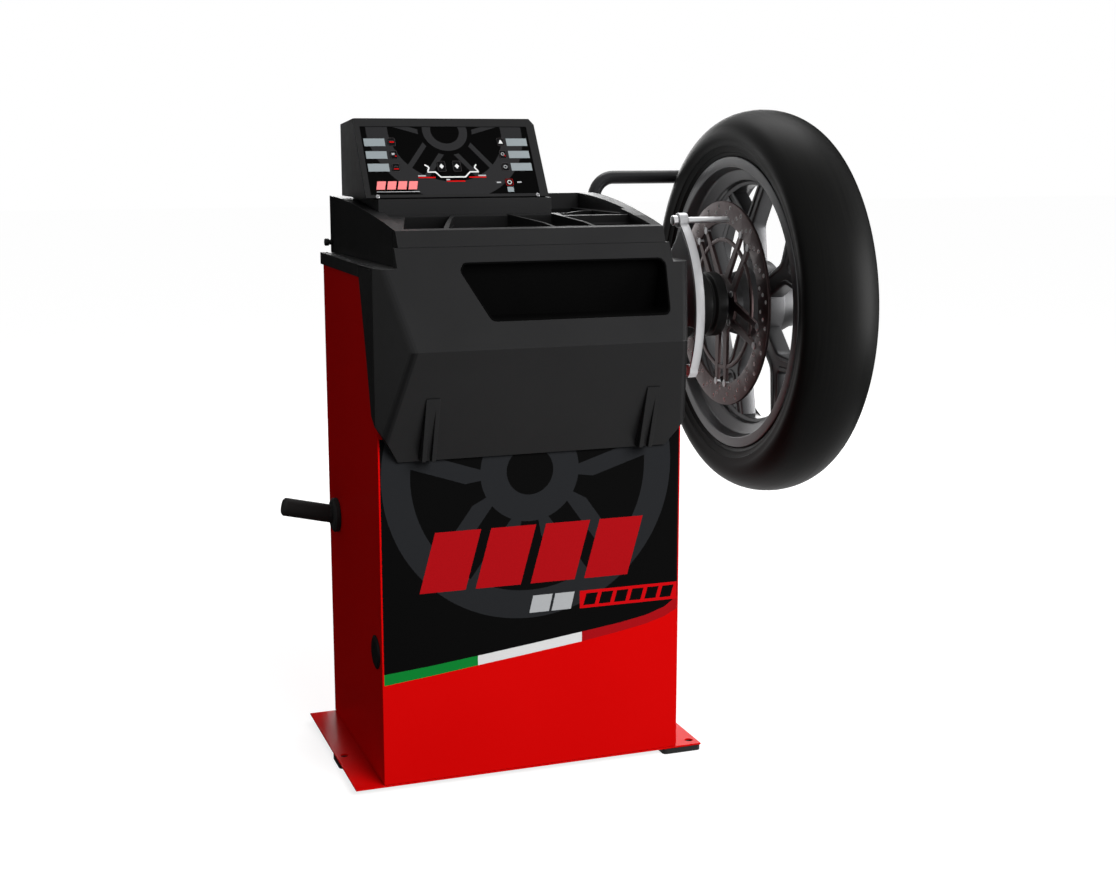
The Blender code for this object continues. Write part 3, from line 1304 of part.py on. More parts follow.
def measuring_gear():
    """The shelf, the bracket under the spindle and its two force sensors."""
    left = SHEET + GAP
    right = CABINET_WIDTH - SHEET - GAP
    front = SHEET + GAP
    rear_play = 0.003
    back = CABINET_DEPTH - SHEET - rear_play
    turn_down = 0.022
    low = SHELF_TOP - turn_down
    under = SHELF_TOP - SHELF_SHEET
    outline = [
        (left, low), (left + SHELF_SHEET, low), (left + SHELF_SHEET, under), (right - SHELF_SHEET, under),
        (right - SHELF_SHEET, low), (right, low), (right, SHELF_TOP), (left, SHELF_TOP),
    ]
    shelf = piece("spindle_shelf", prism(outline, "Y", front, back), GREY_STEEL, machine)
    slot_side = 0.008
    slot_half = 0.052
    cut(shelf, block((CABINET_WIDTH + PULLEY_START - slot_side, SHAFT_BACK - slot_half, low),
                     (CABINET_WIDTH + PULLEY_END + slot_side, SHAFT_BACK + slot_half, SHELF_TOP + OVERRUN)))
    saddle_inset = 0.030
    saddle_length = 0.160
    saddle_start = CABINET_WIDTH + HOUSING_START + saddle_inset
    saddle_end = saddle_start + saddle_length
    saddle_half = 0.046
    cheek = 0.004
    ring = HOUSING_RADIUS + GAP
    base_rise = 0.006
    points = [(SHAFT_BACK - saddle_half, BRACKET_BASE), (SHAFT_BACK + saddle_half, BRACKET_BASE),
              (SHAFT_BACK + saddle_half, BRACKET_BASE + base_rise)]
    points += arc((SHAFT_BACK, SHAFT_HEIGHT), ring + cheek, -30, -30, 0)
    points += arc((SHAFT_BACK, SHAFT_HEIGHT), ring, -30, -150, 10)
    points += arc((SHAFT_BACK, SHAFT_HEIGHT), ring + cheek, -150, -150, 0)
    points += [(SHAFT_BACK - saddle_half, BRACKET_BASE + base_rise)]
    piece("measuring_bracket", prism(points, "X", saddle_start, saddle_end), GREY_STEEL, machine)
    sensor_radius = 0.012
    middle = (saddle_start + saddle_end) / 2
    place = (middle, SHAFT_BACK, SHELF_TOP)
    upright = frame_at("upright_sensor", machine, place, (0.0, -math.pi / 2, 0.0))
    upright_sensor = drum(GAP, SENSOR_HEIGHT - GAP, sensor_radius, COARSE)
    piece("force_sensor_upright", upright_sensor, BRIGHT_STEEL, upright)
    level_length = 0.028
    lug_front = SHAFT_BACK + saddle_half + level_length
    lug_sheet = 0.005
    lug_rise = 0.022
    lug_top = BRACKET_BASE + lug_rise
    lug_half = 0.025
    join(shelf, block((middle - lug_half, lug_front, SHELF_TOP - SHELF_SHEET / 2),
                      (middle + lug_half, lug_front + lug_sheet, lug_top)))
    level_radius = 0.009
    place = (middle, SHAFT_BACK + saddle_half, BRACKET_BASE + base_rise / 2)
    level = frame_at("level_sensor", machine, place, (0.0, 0.0, math.pi / 2))
    level_sensor = drum(GAP, level_length - GAP, level_radius, COARSE)
    piece("force_sensor_level", level_sensor, BRIGHT_STEEL, level)


def belt_outline(offset):
    """The line round both pulleys, a given distance off them."""
    span = SHAFT_HEIGHT - MOTOR_HEIGHT
    big = PULLEY_RADIUS + offset
    small = MOTOR_PULLEY_RADIUS + offset
    lean = math.degrees(math.asin((PULLEY_RADIUS - MOTOR_PULLEY_RADIUS) / span))
    top = arc((SHAFT_BACK, SHAFT_HEIGHT), big, -lean, 180 + lean, 24)
    low = arc((SHAFT_BACK, MOTOR_HEIGHT), small, 180 + lean, 360 - lean, 10)
    return top + low


def drive():
    """The motor on its bracket, its pulley and the belt up to the spindle."""
    belt_sheet = 0.0025
    belt_gap = RUNNING_GAP
    side = PULLEY_RIM + RUNNING_GAP
    start = CABINET_WIDTH + PULLEY_START + side
    end = CABINET_WIDTH + PULLEY_END - side - GAP
    belt = piece("drive_belt", prism(belt_outline(belt_gap + belt_sheet), "X", start, end), RUBBER, machine)
    cut(belt, prism(belt_outline(belt_gap), "X", start - OVERRUN, end + OVERRUN))

    motor_axis = frame_at("motor_axis", machine, (CABINET_WIDTH, SHAFT_BACK, MOTOR_HEIGHT))
    stub_radius = 0.007
    stub_length = 0.020
    motor_past_pulley = 0.008
    motor_length = 0.143
    stub_end = PULLEY_END + stub_length
    motor_front = PULLEY_END + motor_past_pulley
    motor_back = motor_front + motor_length
    edge = 0.006
    recess = 0.014
    stub_hole = stub_radius + RUNNING_GAP
    profile = [
        (motor_front + recess, 0.0), (motor_front + recess, stub_hole), (motor_front, stub_hole),
        (motor_front, MOTOR_RADIUS - edge), (motor_front + edge, MOTOR_RADIUS),
        (motor_back - edge, MOTOR_RADIUS), (motor_back, MOTOR_RADIUS - edge), (motor_back, 0.0),
    ]
    piece("drive_motor", turned(profile, COARSE, closed=False), MOTOR_GREY, motor_axis)
    end_face = PULLEY_END - GAP
    flange = MOTOR_PULLEY_RADIUS + PULLEY_GROOVE
    profile = [
        (PULLEY_START, 0.0), (PULLEY_START, flange), (PULLEY_START + PULLEY_RIM, flange),
        (PULLEY_START + PULLEY_RIM, MOTOR_PULLEY_RADIUS), (end_face - PULLEY_RIM, MOTOR_PULLEY_RADIUS),
        (end_face - PULLEY_RIM, flange), (end_face, flange), (end_face, stub_radius),
        (stub_end, stub_radius), (stub_end, 0.0),
    ]
    piece("motor_pulley", turned(profile, COARSE, closed=False), GREY_STEEL, motor_axis)
    sheet = 0.0035
    foot = 0.040
    half = 0.050
    face = CABINET_WIDTH + motor_front - GAP
    top = SHELF_TOP - SHELF_SHEET - GAP
    low = MOTOR_HEIGHT - MOTOR_RADIUS
    outline = [
        (face - sheet, low), (face, low), (face, top - sheet), (face + foot, top - sheet),
        (face + foot, top), (face - sheet, top),
    ]
    folded = prism(outline, "Y", SHAFT_BACK - half, SHAFT_BACK + half)
    bracket = piece("motor_bracket", folded, GREY_STEEL, machine)
    hole_radius = 0.012
    hole = drum(motor_front - OVERRUN, motor_front + OVERRUN, hole_radius, COARSE)
    cut(bracket, moved(hole, (CABINET_WIDTH, SHAFT_BACK, MOTOR_HEIGHT)))


def boards():
    """The sensor that reads the encoder disc, and the power board."""
    jaw = 0.006
    slot_play = 0.0015
    reach = 0.012
    half = 0.008
    disc_left = CABINET_WIDTH + ENCODER_PLACE
    disc_right = disc_left + ENCODER_SHEET
    low = SHAFT_HEIGHT - ENCODER_RADIUS - jaw
    reader = piece(
        "encoder_reader",
        block((disc_left - slot_play - jaw, SHAFT_BACK - half, SHELF_TOP + GAP),
              (disc_right + slot_play + jaw / 2, SHAFT_BACK + half, low + reach)),
        BOARD_GREEN,
        machine,
    )
    cut(reader, block((disc_left - slot_play, SHAFT_BACK - half - OVERRUN, low),
                      (disc_right + slot_play, SHAFT_BACK + half + OVERRUN, low + reach + OVERRUN)))
    board_side = 0.150
    bottom = 0.240
    front = SHAFT_BACK - board_side / 2
    back = front + board_side
    top = bottom + board_side
    stand = 0.008
    sheet = 0.002
    wall = SHEET + GAP
    plate = block((wall + stand, front, bottom), (wall + stand + sheet, back, top))
    board = piece("power_board", plate, BOARD_GREEN, machine)
    post = 0.006
    margin = 0.006
    for y in (front + margin, back - margin - post):
        for z in (bottom + margin, top - margin - post):
            join(board, block((wall, y, z), (wall + stand + sheet / 2, y + post, z + post)))
    # Each part's place, width, height and depth, as shares of the board's side.
    part_shares = {
        "transformer": (0.133, 0.133, 0.333, 0.300, 0.267),
        "heat_sink": (0.567, 0.167, 0.267, 0.200, 0.187),
        "relay": (0.200, 0.633, 0.160, 0.120, 0.107),
    }
    for shares in part_shares.values():
        y, z, width, height, depth = [board_side * share for share in shares]
        join(board, block((wall + stand + sheet / 2, front + y, bottom + z),
                          (wall + stand + depth, front + y + width, bottom + z + height)))


GUARD_LEG_OUT = 0.026
GUARD_CLEARANCE = 0.0079
GUARD_ANGLE = math.radians(36.9)
GUARD_PIVOT_RISE = 0.029
GUARD_PAST_WHEEL = 0.0015
GUARD_BEND = 0.034
GUARD_RING = TYRE_DIAMETER / 2 + GUARD_CLEARANCE + GUARD_TUBE_DIAMETER / 2
GUARD_LEG_X = CABINET_WIDTH + GUARD_LEG_OUT
GUARD_BACK = SHAFT_BACK + GUARD_RING * math.cos(GUARD_ANGLE)
GUARD_BAR_HEIGHT = SHAFT_HEIGHT + GUARD_RING * math.sin(GUARD_ANGLE)
GUARD_PIVOT_HEIGHT = SHAFT_HEIGHT + GUARD_PIVOT_RISE
GUARD_BAR_END = CABINET_WIDTH + WHEEL_REACH + GUARD_PAST_WHEEL


def bent_bar(stations, radius, steps):
    """Return a round bar through (x, z, lean) stations, with the lean from upright in degrees."""
    mesh = bmesh.new()
    rings = []
    for x, z, lean in stations:
        tilt = math.radians(lean)
        ring = []
        for index in range(steps):
            turn = FULL_TURN * index / steps
            across = radius * math.cos(turn)
            place = (x + across * math.cos(tilt), radius * math.sin(turn), z - across * math.sin(tilt))
            ring.append(mesh.verts.new(place))
        rings.append(ring)
    for low, high in zip(rings, rings[1:]):
        for index in range(steps):
            after = (index + 1) % steps
            mesh.faces.new((low[index], low[after], high[after], high[index]))
    mesh.faces.new(rings[0])
    mesh.faces.new(rings[-1])
    bmesh.ops.recalc_face_normals(mesh, faces=mesh.faces)
    return mesh


def guard():
    """The bent tube that a wheel guard fits on, hinged on a bracket at the back."""
    radius = GUARD_TUBE_DIAMETER / 2
    plate_inset = 0.005
    plate_width = 0.075
    plate_drop = 0.080
    plate_right = CABINET_WIDTH - plate_inset
    plate_left = plate_right - plate_width
    plate_high = LID_TOP - LID_HEIGHT - LID_OVERHANG
    plate_low = plate_high - plate_drop + LID_OVERHANG
    plate_sheet = 0.004
    ear_sheet = 0.006
    ear_half = 0.022
    pin_radius = 0.008
    hub_radius = 0.016
    hub_half = 0.015
    head = 0.003
    head_radius = 0.012
    face = CABINET_DEPTH + GAP + PANEL_SHEET + GAP
    bracket = piece(
        "guard_bracket",
        block((plate_left, face, plate_low), (plate_right, face + plate_sheet, plate_high)),
        BLACK_PAINT,
        machine,
    )
    ear = block((plate_right - ear_sheet, face + plate_sheet / 2, GUARD_PIVOT_HEIGHT - ear_half),
                (plate_right, GUARD_BACK, GUARD_PIVOT_HEIGHT + ear_half))
    join(bracket, ear)
    pivot = (0.0, GUARD_BACK, GUARD_PIVOT_HEIGHT)
    boss = drum(plate_right - ear_sheet / 2, GUARD_LEG_X - hub_half - GAP, hub_radius, COARSE)
    join(bracket, moved(boss, pivot))
    hub_end = GUARD_LEG_X + hub_half + GAP
    pin = [
        (plate_right - ear_sheet, 0.0), (plate_right - ear_sheet, pin_radius), (hub_end, pin_radius),
        (hub_end, head_radius), (hub_end + head, head_radius), (hub_end + head, 0.0),
    ]
    join(bracket, moved(turned(pin, COARSE, closed=False), pivot))

    guard_axis = frame_at("guard_axis", machine, (GUARD_LEG_X, GUARD_BACK, GUARD_PIVOT_HEIGHT))
    leg = GUARD_BAR_HEIGHT - GUARD_PIVOT_HEIGHT - GUARD_BEND
    run = GUARD_BAR_END - GUARD_LEG_X - GUARD_BEND
    bend_steps = 6
    stations = [(0.0, 0.0, 0)]
    for index in range(bend_steps + 1):
        lean = 90 * index / bend_steps
        (across, up), = arc((GUARD_BEND, leg), GUARD_BEND, 180 - lean, 180 - lean, 0)
        stations.append((across, up, lean))
    stations.append((GUARD_BEND + run, leg + GUARD_BEND, 90))
    mesh = bent_bar(stations, radius, 16)
    tube_piece = piece("guard_tube", mesh, BLACK_PAINT, guard_axis)
    join(tube_piece, drum(-hub_half, hub_half, hub_radius, COARSE))
    cut(tube_piece, drum(-hub_half - OVERRUN, hub_half + OVERRUN, pin_radius + RUNNING_GAP, COARSE))


base_and_feet()
cabinet()
rear_cover()
lid()
front_hood()
clip_rails()
weight_tray()
display()
accessory_peg()
spindle()
drive_arm()
cones_and_nut()
wheel()
measuring_gear()
drive()
boards()
guard()
bpy.context.view_layer.update()
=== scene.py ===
# %% [markdown]
# # A motorcycle wheel balancer
# The machine is a red sheet steel cabinet with a black moulded hood, lid, tray and display, and a
# shaft on its right side that carries the wheel under test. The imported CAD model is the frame: each
# piece here goes where its CAD node is, and rides on that node's body.

# %% Load the frame
import json
import math
from collections import namedtuple

import bmesh
import bpy
from mathutils import Matrix, Vector

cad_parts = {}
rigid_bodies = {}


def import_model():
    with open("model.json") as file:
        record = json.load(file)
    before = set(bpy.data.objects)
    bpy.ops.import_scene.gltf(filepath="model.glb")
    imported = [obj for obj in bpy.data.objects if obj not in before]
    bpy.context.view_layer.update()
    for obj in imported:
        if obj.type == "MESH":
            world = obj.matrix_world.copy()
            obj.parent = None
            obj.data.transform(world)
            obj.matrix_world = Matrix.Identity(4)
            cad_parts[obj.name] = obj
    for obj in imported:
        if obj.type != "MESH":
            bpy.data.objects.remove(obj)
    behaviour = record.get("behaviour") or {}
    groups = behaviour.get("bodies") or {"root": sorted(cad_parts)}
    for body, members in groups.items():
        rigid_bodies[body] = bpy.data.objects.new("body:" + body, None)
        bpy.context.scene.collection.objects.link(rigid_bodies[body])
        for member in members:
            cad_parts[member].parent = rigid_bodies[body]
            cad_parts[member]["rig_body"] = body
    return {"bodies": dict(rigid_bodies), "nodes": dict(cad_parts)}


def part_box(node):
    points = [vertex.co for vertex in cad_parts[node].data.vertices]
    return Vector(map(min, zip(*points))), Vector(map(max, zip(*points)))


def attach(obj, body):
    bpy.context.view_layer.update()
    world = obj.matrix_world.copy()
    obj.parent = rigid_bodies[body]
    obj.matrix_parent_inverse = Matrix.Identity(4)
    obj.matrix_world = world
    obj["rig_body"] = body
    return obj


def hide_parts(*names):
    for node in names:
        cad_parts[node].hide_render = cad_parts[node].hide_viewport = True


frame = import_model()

nodes = frame["nodes"]
kept = set(nodes.values()) | set(frame["bodies"].values())
for item in list(bpy.data.objects):
    if item not in kept:
        bpy.data.objects.remove(item, do_unlink=True)
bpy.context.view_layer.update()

# %% [markdown]
# ## Places
# Two corners give every other place. The cabinet's front left corner on the floor is where the
# machine is measured from, and the tyre's middle gives the shaft's height and how far back it runs.

# %% Places that the pieces share
shell_low, shell_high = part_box("cabinet_shell")
tyre_low, tyre_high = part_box("tyre")
corner = Vector((shell_low.x, shell_low.y, 0.0))
wheel_middle = (tyre_low + tyre_high) / 2
axle = Vector((shell_high.x, wheel_middle.y, wheel_middle.z))
cabinet_width = shell_high.x - shell_low.x
cabinet_depth = shell_high.y - shell_low.y
RIGHT = Vector((1, 0, 0))
BACK = Vector((0, 1, 0))
UP = Vector((0, 0, 1))
FULL_TURN = 2 * math.pi


def at(x, y, z):
    """A place measured from the cabinet's front left corner on the floor."""
    return corner + Vector((x, y, z))


def on_circle(radius, angles):
    """Places at a radius, at some angles in degrees."""
    turns = [math.radians(angle) for angle in angles]
    return [(radius * math.cos(turn), radius * math.sin(turn)) for turn in turns]


def picked(grown, kind=bmesh.types.BMVert):
    """The vertices, or the edges, among the things that an operator made."""
    return [part for part in grown["geom"] if isinstance(part, kind)]


def drawn_out(shape, edges, vector):
    """Pull edges along a vector, and return the new ones."""
    grown = bmesh.ops.extrude_edge_only(shape, edges=edges)
    bmesh.ops.translate(shape, vec=vector, verts=picked(grown))
    return picked(grown, bmesh.types.BMEdge)


print("cabinet", round(cabinet_width, 4), "wide, wheel's middle at",
      tuple(round(n, 4) for n in wheel_middle))

# %% [markdown]
# ## Shader maths as Python
# A finish is a small network of nodes. Writing it as expressions keeps it readable: a Signal wraps
# one socket, and adding or comparing Signals adds the Math node that does so.


# %% Signals and boards
class Signal:
    """One output socket, on which Python's operators build Math nodes."""

    def __init__(self, board, socket):
        self.board = board
        self.socket = socket

    def maths(self, operation, first, second=0.0):
        return self.board.node("ShaderNodeMath", {"operation": operation}, {0: first, 1: second})

    def __add__(self, other):
        return self.maths("ADD", self, other)

    def __radd__(self, other):
        return self.maths("ADD", other, self)

    def __sub__(self, other):
        return self.maths("SUBTRACT", self, other)

    def __rsub__(self, other):
        return self.maths("SUBTRACT", other, self)

    def __mul__(self, other):
        return self.maths("MULTIPLY", self, other)

    def __rmul__(self, other):
        return self.maths("MULTIPLY", other, self)

    def __gt__(self, other):
        return self.maths("GREATER_THAN", self, other)

    def __lt__(self, other):
        return self.maths("LESS_THAN", self, other)

    def __abs__(self):
        return self.maths("ABSOLUTE", self)

    def most(self, other):
        return self.maths("MAXIMUM", self, other)


class Board:
    """A node tree with one method that adds any node."""

    def __init__(self, tree):
        self.tree = tree
        tree.nodes.clear()

    def node(self, kind, settings=None, values=None, output=0):
        made = self.tree.nodes.new(kind)
        for name, value in (settings or {}).items():
            setattr(made, name, value)
        for name, value in (values or {}).items():
            if isinstance(value, Signal):
                self.tree.links.new(value.socket, made.inputs[name])
            else:
                made.inputs[name].default_value = value
        return Signal(self, made.outputs[output]) if len(made.outputs) else made

    def split(self, vector):
        """The three numbers of a vector."""
        first = self.node("ShaderNodeSeparateXYZ", {}, {0: vector})
        return [Signal(self, socket) for socket in first.socket.node.outputs]

    def seen(self):
        """1 for rays that show a thing itself: straight, in a mirror, or through glass."""
        path = self.node("ShaderNodeLightPath").socket.node.outputs
        straight, mirrored, through = [
            Signal(self, path[name]) for name in ("Is Camera Ray", "Is Glossy Ray", "Is Transmission Ray")
        ]
        return straight.most(mirrored).most(through)


class Finish(Board):
    """A material, and the slot of the record that it stands for."""

    def __init__(self, name, slot=None):
        self.material = bpy.data.materials.new(name)
        self.material.use_nodes = True
        self.slot = slot
        super().__init__(self.material.node_tree)

    def place(self, scale=(1, 1, 1), origin=(0, 0, 0)):
        """Object coordinates from an origin, stretched by a scale."""
        here = self.node("ShaderNodeTexCoord", output=3)
        moved = self.node("ShaderNodeVectorMath", {"operation": "SUBTRACT"}, {0: here, 1: origin})
        return self.node("ShaderNodeMapping", {}, {"Vector": moved, "Scale": scale})

    def polar(self, first, second):
        """How far two numbers are from the middle, and the angle that they make there."""
        far = first.maths("POWER", first * first + second * second, 0.5)
        return far, first.maths("ARCTAN2", second, first)

    def noise(self, vector, scale, detail=2.0, roughness=0.5):
        values = {"Vector": vector, "Scale": scale, "Detail": detail, "Roughness": roughness}
        return self.node("ShaderNodeTexNoise", {}, values)

    def mix(self, factor, first, second):
        values = {0: factor, 6: rgba(first), 7: rgba(second)}
        return self.node("ShaderNodeMix", {"data_type": "RGBA"}, values, output=2)

    def bump(self, height, distance):
        return self.node("ShaderNodeBump", {}, {"Height": height, "Distance": distance, "Strength": 1.0})

    def surface(self, colour, roughness, metallic=0.0, normal=None, gloss=0.5):
        """Close the network with one shader."""
        values = {"Base Color": rgba(colour), "Roughness": roughness, "Metallic": metallic,
                  "Specular IOR Level": gloss}
        if normal:
            values["Normal"] = normal
        shader = self.node("ShaderNodeBsdfPrincipled", {}, values)
        self.node("ShaderNodeOutputMaterial", {}, {"Surface": shader})
        return self


def rgba(colour):
    """A colour with its fourth number. A Signal stays as it is."""
    return (*colour, 1) if isinstance(colour, tuple) else colour


def shade(red, green, blue):
    """A screen colour from 0 to 255 as the linear numbers that a shader takes."""
    parts = [part / 255 for part in (red, green, blue)]
    return tuple(part / 12.92 if part <= 0.04045 else ((part + 0.055) / 1.055) ** 2.4 for part in parts)


print("a mid grey is written as", tuple(round(part, 4) for part in shade(128, 128, 128)))

# %% [markdown]
# ## Studio
# A soft panel in front of the machine and above it gives a plain level of light, and a fill lights
# its rear. Both light matt surfaces only. Three more lamps show in gloss only: one above, one low
# behind, and one at the right front for the tyre. The world and the floor show white to the camera
# and to reflections, and the floor still takes a shadow.

# %% Floor and world
FLOOR_DROP = 0.0004
SHOWN_WHITE = 0.60
GLOW = 1.53
AMBIENT = 0.22
floor_shape = bmesh.new()
bmesh.ops.create_grid(floor_shape, x_segments=1, y_segments=1, size=20.0)
floor_mesh = bpy.data.meshes.new("floor")
bmesh.ops.translate(floor_shape, vec=(0, 0, -FLOOR_DROP), verts=floor_shape.verts)
floor_shape.to_mesh(floor_mesh)
floor_shape.free()
floor = bpy.data.objects.new("floor", floor_mesh)
bpy.context.scene.collection.objects.link(floor)

floor_finish = Finish("pale_floor")
shown = floor_finish.seen()
paper = floor_finish.node("ShaderNodeBsdfDiffuse", {}, {
    "Color": floor_finish.mix(shown, (0.18, 0.18, 0.18), (0.80, 0.80, 0.80))})
along, away_from, _ = floor_finish.split(floor_finish.place())
far_off = (along * along + away_from * away_from) * 0.30
glow = floor_finish.node("ShaderNodeEmission", {}, {
    "Color": floor_finish.mix(far_off, (0.87, 0.87, 0.87), (1.0, 1.0, 1.0)), "Strength": GLOW})
part_white = floor_finish.node("ShaderNodeMixShader", {}, {0: shown * SHOWN_WHITE, 1: paper, 2: glow})
floor_finish.node("ShaderNodeOutputMaterial", {}, {"Surface": part_white})
floor_mesh.materials.append(floor_finish.material)

world = bpy.data.worlds.new("studio")
bpy.context.scene.world = world
world.use_nodes = True
sky = Board(world.node_tree)
ambient = sky.node("ShaderNodeBackground", {}, {"Color": (1, 1, 1, 1), "Strength": AMBIENT})
white = sky.node("ShaderNodeBackground", {}, {"Color": (1, 1, 1, 1), "Strength": 1.0})
both = sky.node("ShaderNodeMixShader", {}, {0: sky.seen(), 1: ambient, 2: white})
sky.node("ShaderNodeOutputWorld", {}, {"Surface": both})
bpy.context.scene.view_settings.view_transform = "Standard"
print("world level", AMBIENT)


# %% Lamps
def lamp(name, direction, distance, size, power, lights):
    """A soft panel that looks at the machine's middle, for matt light or for gloss."""
    light = bpy.data.lights.new(name, "AREA")
    light.shape = "RECTANGLE"
    light.size, light.size_y = size
    light.energy = power
    made = bpy.data.objects.new(name, light)
    bpy.context.scene.collection.objects.link(made)
    away = Vector(direction).normalized()
    made.location = Vector((0, 0, 0.5)) + away * distance
    made.rotation_euler = (-away).to_track_quat("-Z", "Y").to_euler()
    made.visible_camera = False
    made.visible_glossy = lights == "gloss"
    made.visible_diffuse = lights == "matt"


lamp("front_panel", (0.25, -1.0, 0.62), 3.2, (1.9, 1.9), 136, "matt")
lamp("rear_fill", (0.55, 1.0, 0.55), 3.4, (2.4, 1.6), 90, "matt")
lamp("top_sheen", (0.20, 0.42, 0.88), 2.6, (1.8, 1.2), 40, "gloss")
lamp("back_sheen", (0.30, 0.95, 0.18), 3.4, (3.2, 1.1), 60, "gloss")
lamp("tyre_sheen", (0.86, -0.50, 0.14), 2.7, (1.3, 1.6), 110, "gloss")

# %% [markdown]
# A dark card stands on the floor behind the machine's left side and lies along it, and a tall one
# stands behind the tyre. They show only in reflections, as a photographer's black cards do, and keep
# the side's paint and the tyre's edge deep in colour.

# %% Dark cards
CARD_REACH = 2.4
card_shape = bmesh.new()
for start, end, height in (((-0.348, 0.26, 0.001), (-2.2, 1.15, 0.001), 1.0),
                           ((1.20, 1.60, 0.001), (2.40, 0.55, 0.001), 2.2)):
    foot = card_shape.edges.new((card_shape.verts.new(start), card_shape.verts.new(end)))
    drawn_out(card_shape, [foot], (0, 0, height))
    drawn_out(card_shape, [foot], (0, -CARD_REACH, 0))
card_mesh = bpy.data.meshes.new("dark_card")
card_shape.to_mesh(card_mesh)
card_shape.free()
card = bpy.data.objects.new("dark_card", card_mesh)
bpy.context.scene.collection.objects.link(card)
card.visible_camera = card.visible_diffuse = card.visible_transmission = card.visible_shadow = False
card_finish = Finish("dark_card")
felt = card_finish.node("ShaderNodeBsdfDiffuse", {}, {"Color": (0.004, 0.004, 0.004, 1)})
card_finish.node("ShaderNodeOutputMaterial", {}, {"Surface": felt})
card_mesh.materials.append(card_finish.material)

# %% [markdown]
# ## Camera
# The camera stands where the photograph was taken from: low in front of the machine, to its left,
# and looking slightly down. Its place and lens were solved from the cabinet's edges.

# %% Camera
LENS = 51.90
LOOK_DOWN = 10.672
LOOK_RIGHT = 19.829
camera = bpy.data.objects.new("camera", bpy.data.cameras.new("camera"))
bpy.context.scene.collection.objects.link(camera)
camera.location = (-0.8591, -2.2965, 0.9212)
camera.rotation_euler = (math.radians(90 - LOOK_DOWN), 0.0, math.radians(-LOOK_RIGHT))
camera.data.lens = LENS
camera.data.sensor_width = 36.0
camera.data.clip_start = 0.05
camera.data.clip_end = 100.0
bpy.context.scene.camera = camera
print("camera", tuple(camera.location), "lens", LENS)

# %% [markdown]
# ## Painted and moulded finishes
# The cabinet's powder coat has a faint orange peel and drifts a little in tone. The mouldings are
# black with a fine spark-eroded grain. Their gloss is kept low, so that the black stays deep.


# %% Paint and plastic
GRAIN = 0.00003
GRAIN_SIZE = 2200.0
BLACK = (0.009, 0.009, 0.0093)
WORN_BLACK = (0.013, 0.013, 0.0134)


def painted(name, slot, dark, light, roughness, gloss, peel=0.000012):
    finish = Finish(name, slot)
    place = finish.place()
    drift = finish.noise(place, 5.0, 1.0)
    skin = finish.noise(place, 700.0, 1.0)
    return finish.surface(finish.mix(drift, dark, light), roughness + 0.10 * drift,
                          normal=finish.bump(skin, peel), gloss=gloss)


def moulded(name, slot, dark, light, roughness, gloss, grain=GRAIN, grain_size=GRAIN_SIZE):
    finish = Finish(name, slot)
    place = finish.place()
    drift = finish.noise(place, 9.0, 2.0)
    pits = finish.noise(place, grain_size, 2.0, 0.6)
    wear = finish.noise(place, 60.0, 4.0)
    return finish.surface(finish.mix(drift, dark, light), roughness + 0.12 * wear + 0.10 * pits,
                          normal=finish.bump(pits, grain), gloss=gloss)


red_paint = painted("red_paint", "red_paint", (0.56, 0.001, 0.001), (0.61, 0.002, 0.002), 0.25, 0.02)
black_paint = painted("black_paint", "black_paint", (0.008, 0.008, 0.009), (0.014, 0.014, 0.015),
                      0.32, 0.20)
black_plastic = moulded("black_plastic", "black_plastic", BLACK, WORN_BLACK, 0.28, 0.10)
black_hub = moulded("black_hub", "black_hub", (0.004, 0.004, 0.004), (0.009, 0.009, 0.009), 0.34, 0.08,
                    grain_size=1400.0)
# The pocket liner's black is far darker than the other mouldings: painted shade for the inside of the hood's
# pocket.
pocket_liner_painted_shade = moulded("pocket_liner_painted_shade", "black_plastic", (0.0010, 0.0010, 0.0010), (0.0018, 0.0018, 0.0018),
                     0.50, 0.01)
RIM_HEIGHT = 0.799
PEDESTAL_SEAT = 0.812
BAY_BACK = 0.122


def tray_finish():
    """Black plastic, rougher below the tray's rim and painted near black there: painted shade for the deep
    bays.
    """
    finish = Finish("tray_plastic_painted_shade", "black_plastic")
    place = finish.place()
    drift = finish.noise(place, 9.0, 2.0)
    pits = finish.noise(place, GRAIN_SIZE, 2.0, 0.6)
    across, back, high = finish.split(finish.place(origin=tuple(at(0, 0, 0))))
    # Painted shade: inside the tray below the pedestal's seat, all but the tops of the bay walls is painted
    # near black, for the shade in the bays.
    ridge = (abs(high - RIM_HEIGHT) < 0.0012) * (back < BAY_BACK - 0.001)
    inside = (back > 0.011) * (across > 0.030) * (across < 0.440) * (high < PEDESTAL_SEAT - 0.0010)
    deep = inside * (1.0 - ridge)
    colour = finish.mix(deep, finish.mix(drift, BLACK, WORN_BLACK), (0.0035, 0.0035, 0.0036))
    return finish.surface(colour, 0.30 + 0.12 * drift + 0.15 * deep, normal=finish.bump(pits, GRAIN),
                          gloss=0.10)


tray_plastic_painted_shade = tray_finish()
rubber = moulded("rubber", "rubber", (0.009, 0.009, 0.009), (0.016, 0.016, 0.016), 0.58, 0.15,
                 0.00006, 900.0)
motor_housing = painted("motor_housing", "motor_housing", shade(88, 92, 96), shade(104, 108, 112),
                        0.45, 0.30, 0.00003)
print("paints and plastics ready")

# %% [markdown]
# ## Tyre rubber
# Sidewall rubber is darker where it was wiped and paler where dust holds, in faint rings round the
# axle. The rings come from the distance to the axle, so they follow the tyre whichever way it turns.


# %% Tyre rubber and turned metal
def ringed(finish, across_scale, far_scale, turn_scale):
    """A place in which noise runs in rings round the axle."""
    across, back, high = finish.split(finish.place(origin=tuple(wheel_middle)))
    far, turn = finish.polar(back, high)
    return finish.node("ShaderNodeCombineXYZ", {}, {
        0: across * across_scale, 1: far * far_scale, 2: turn * turn_scale})


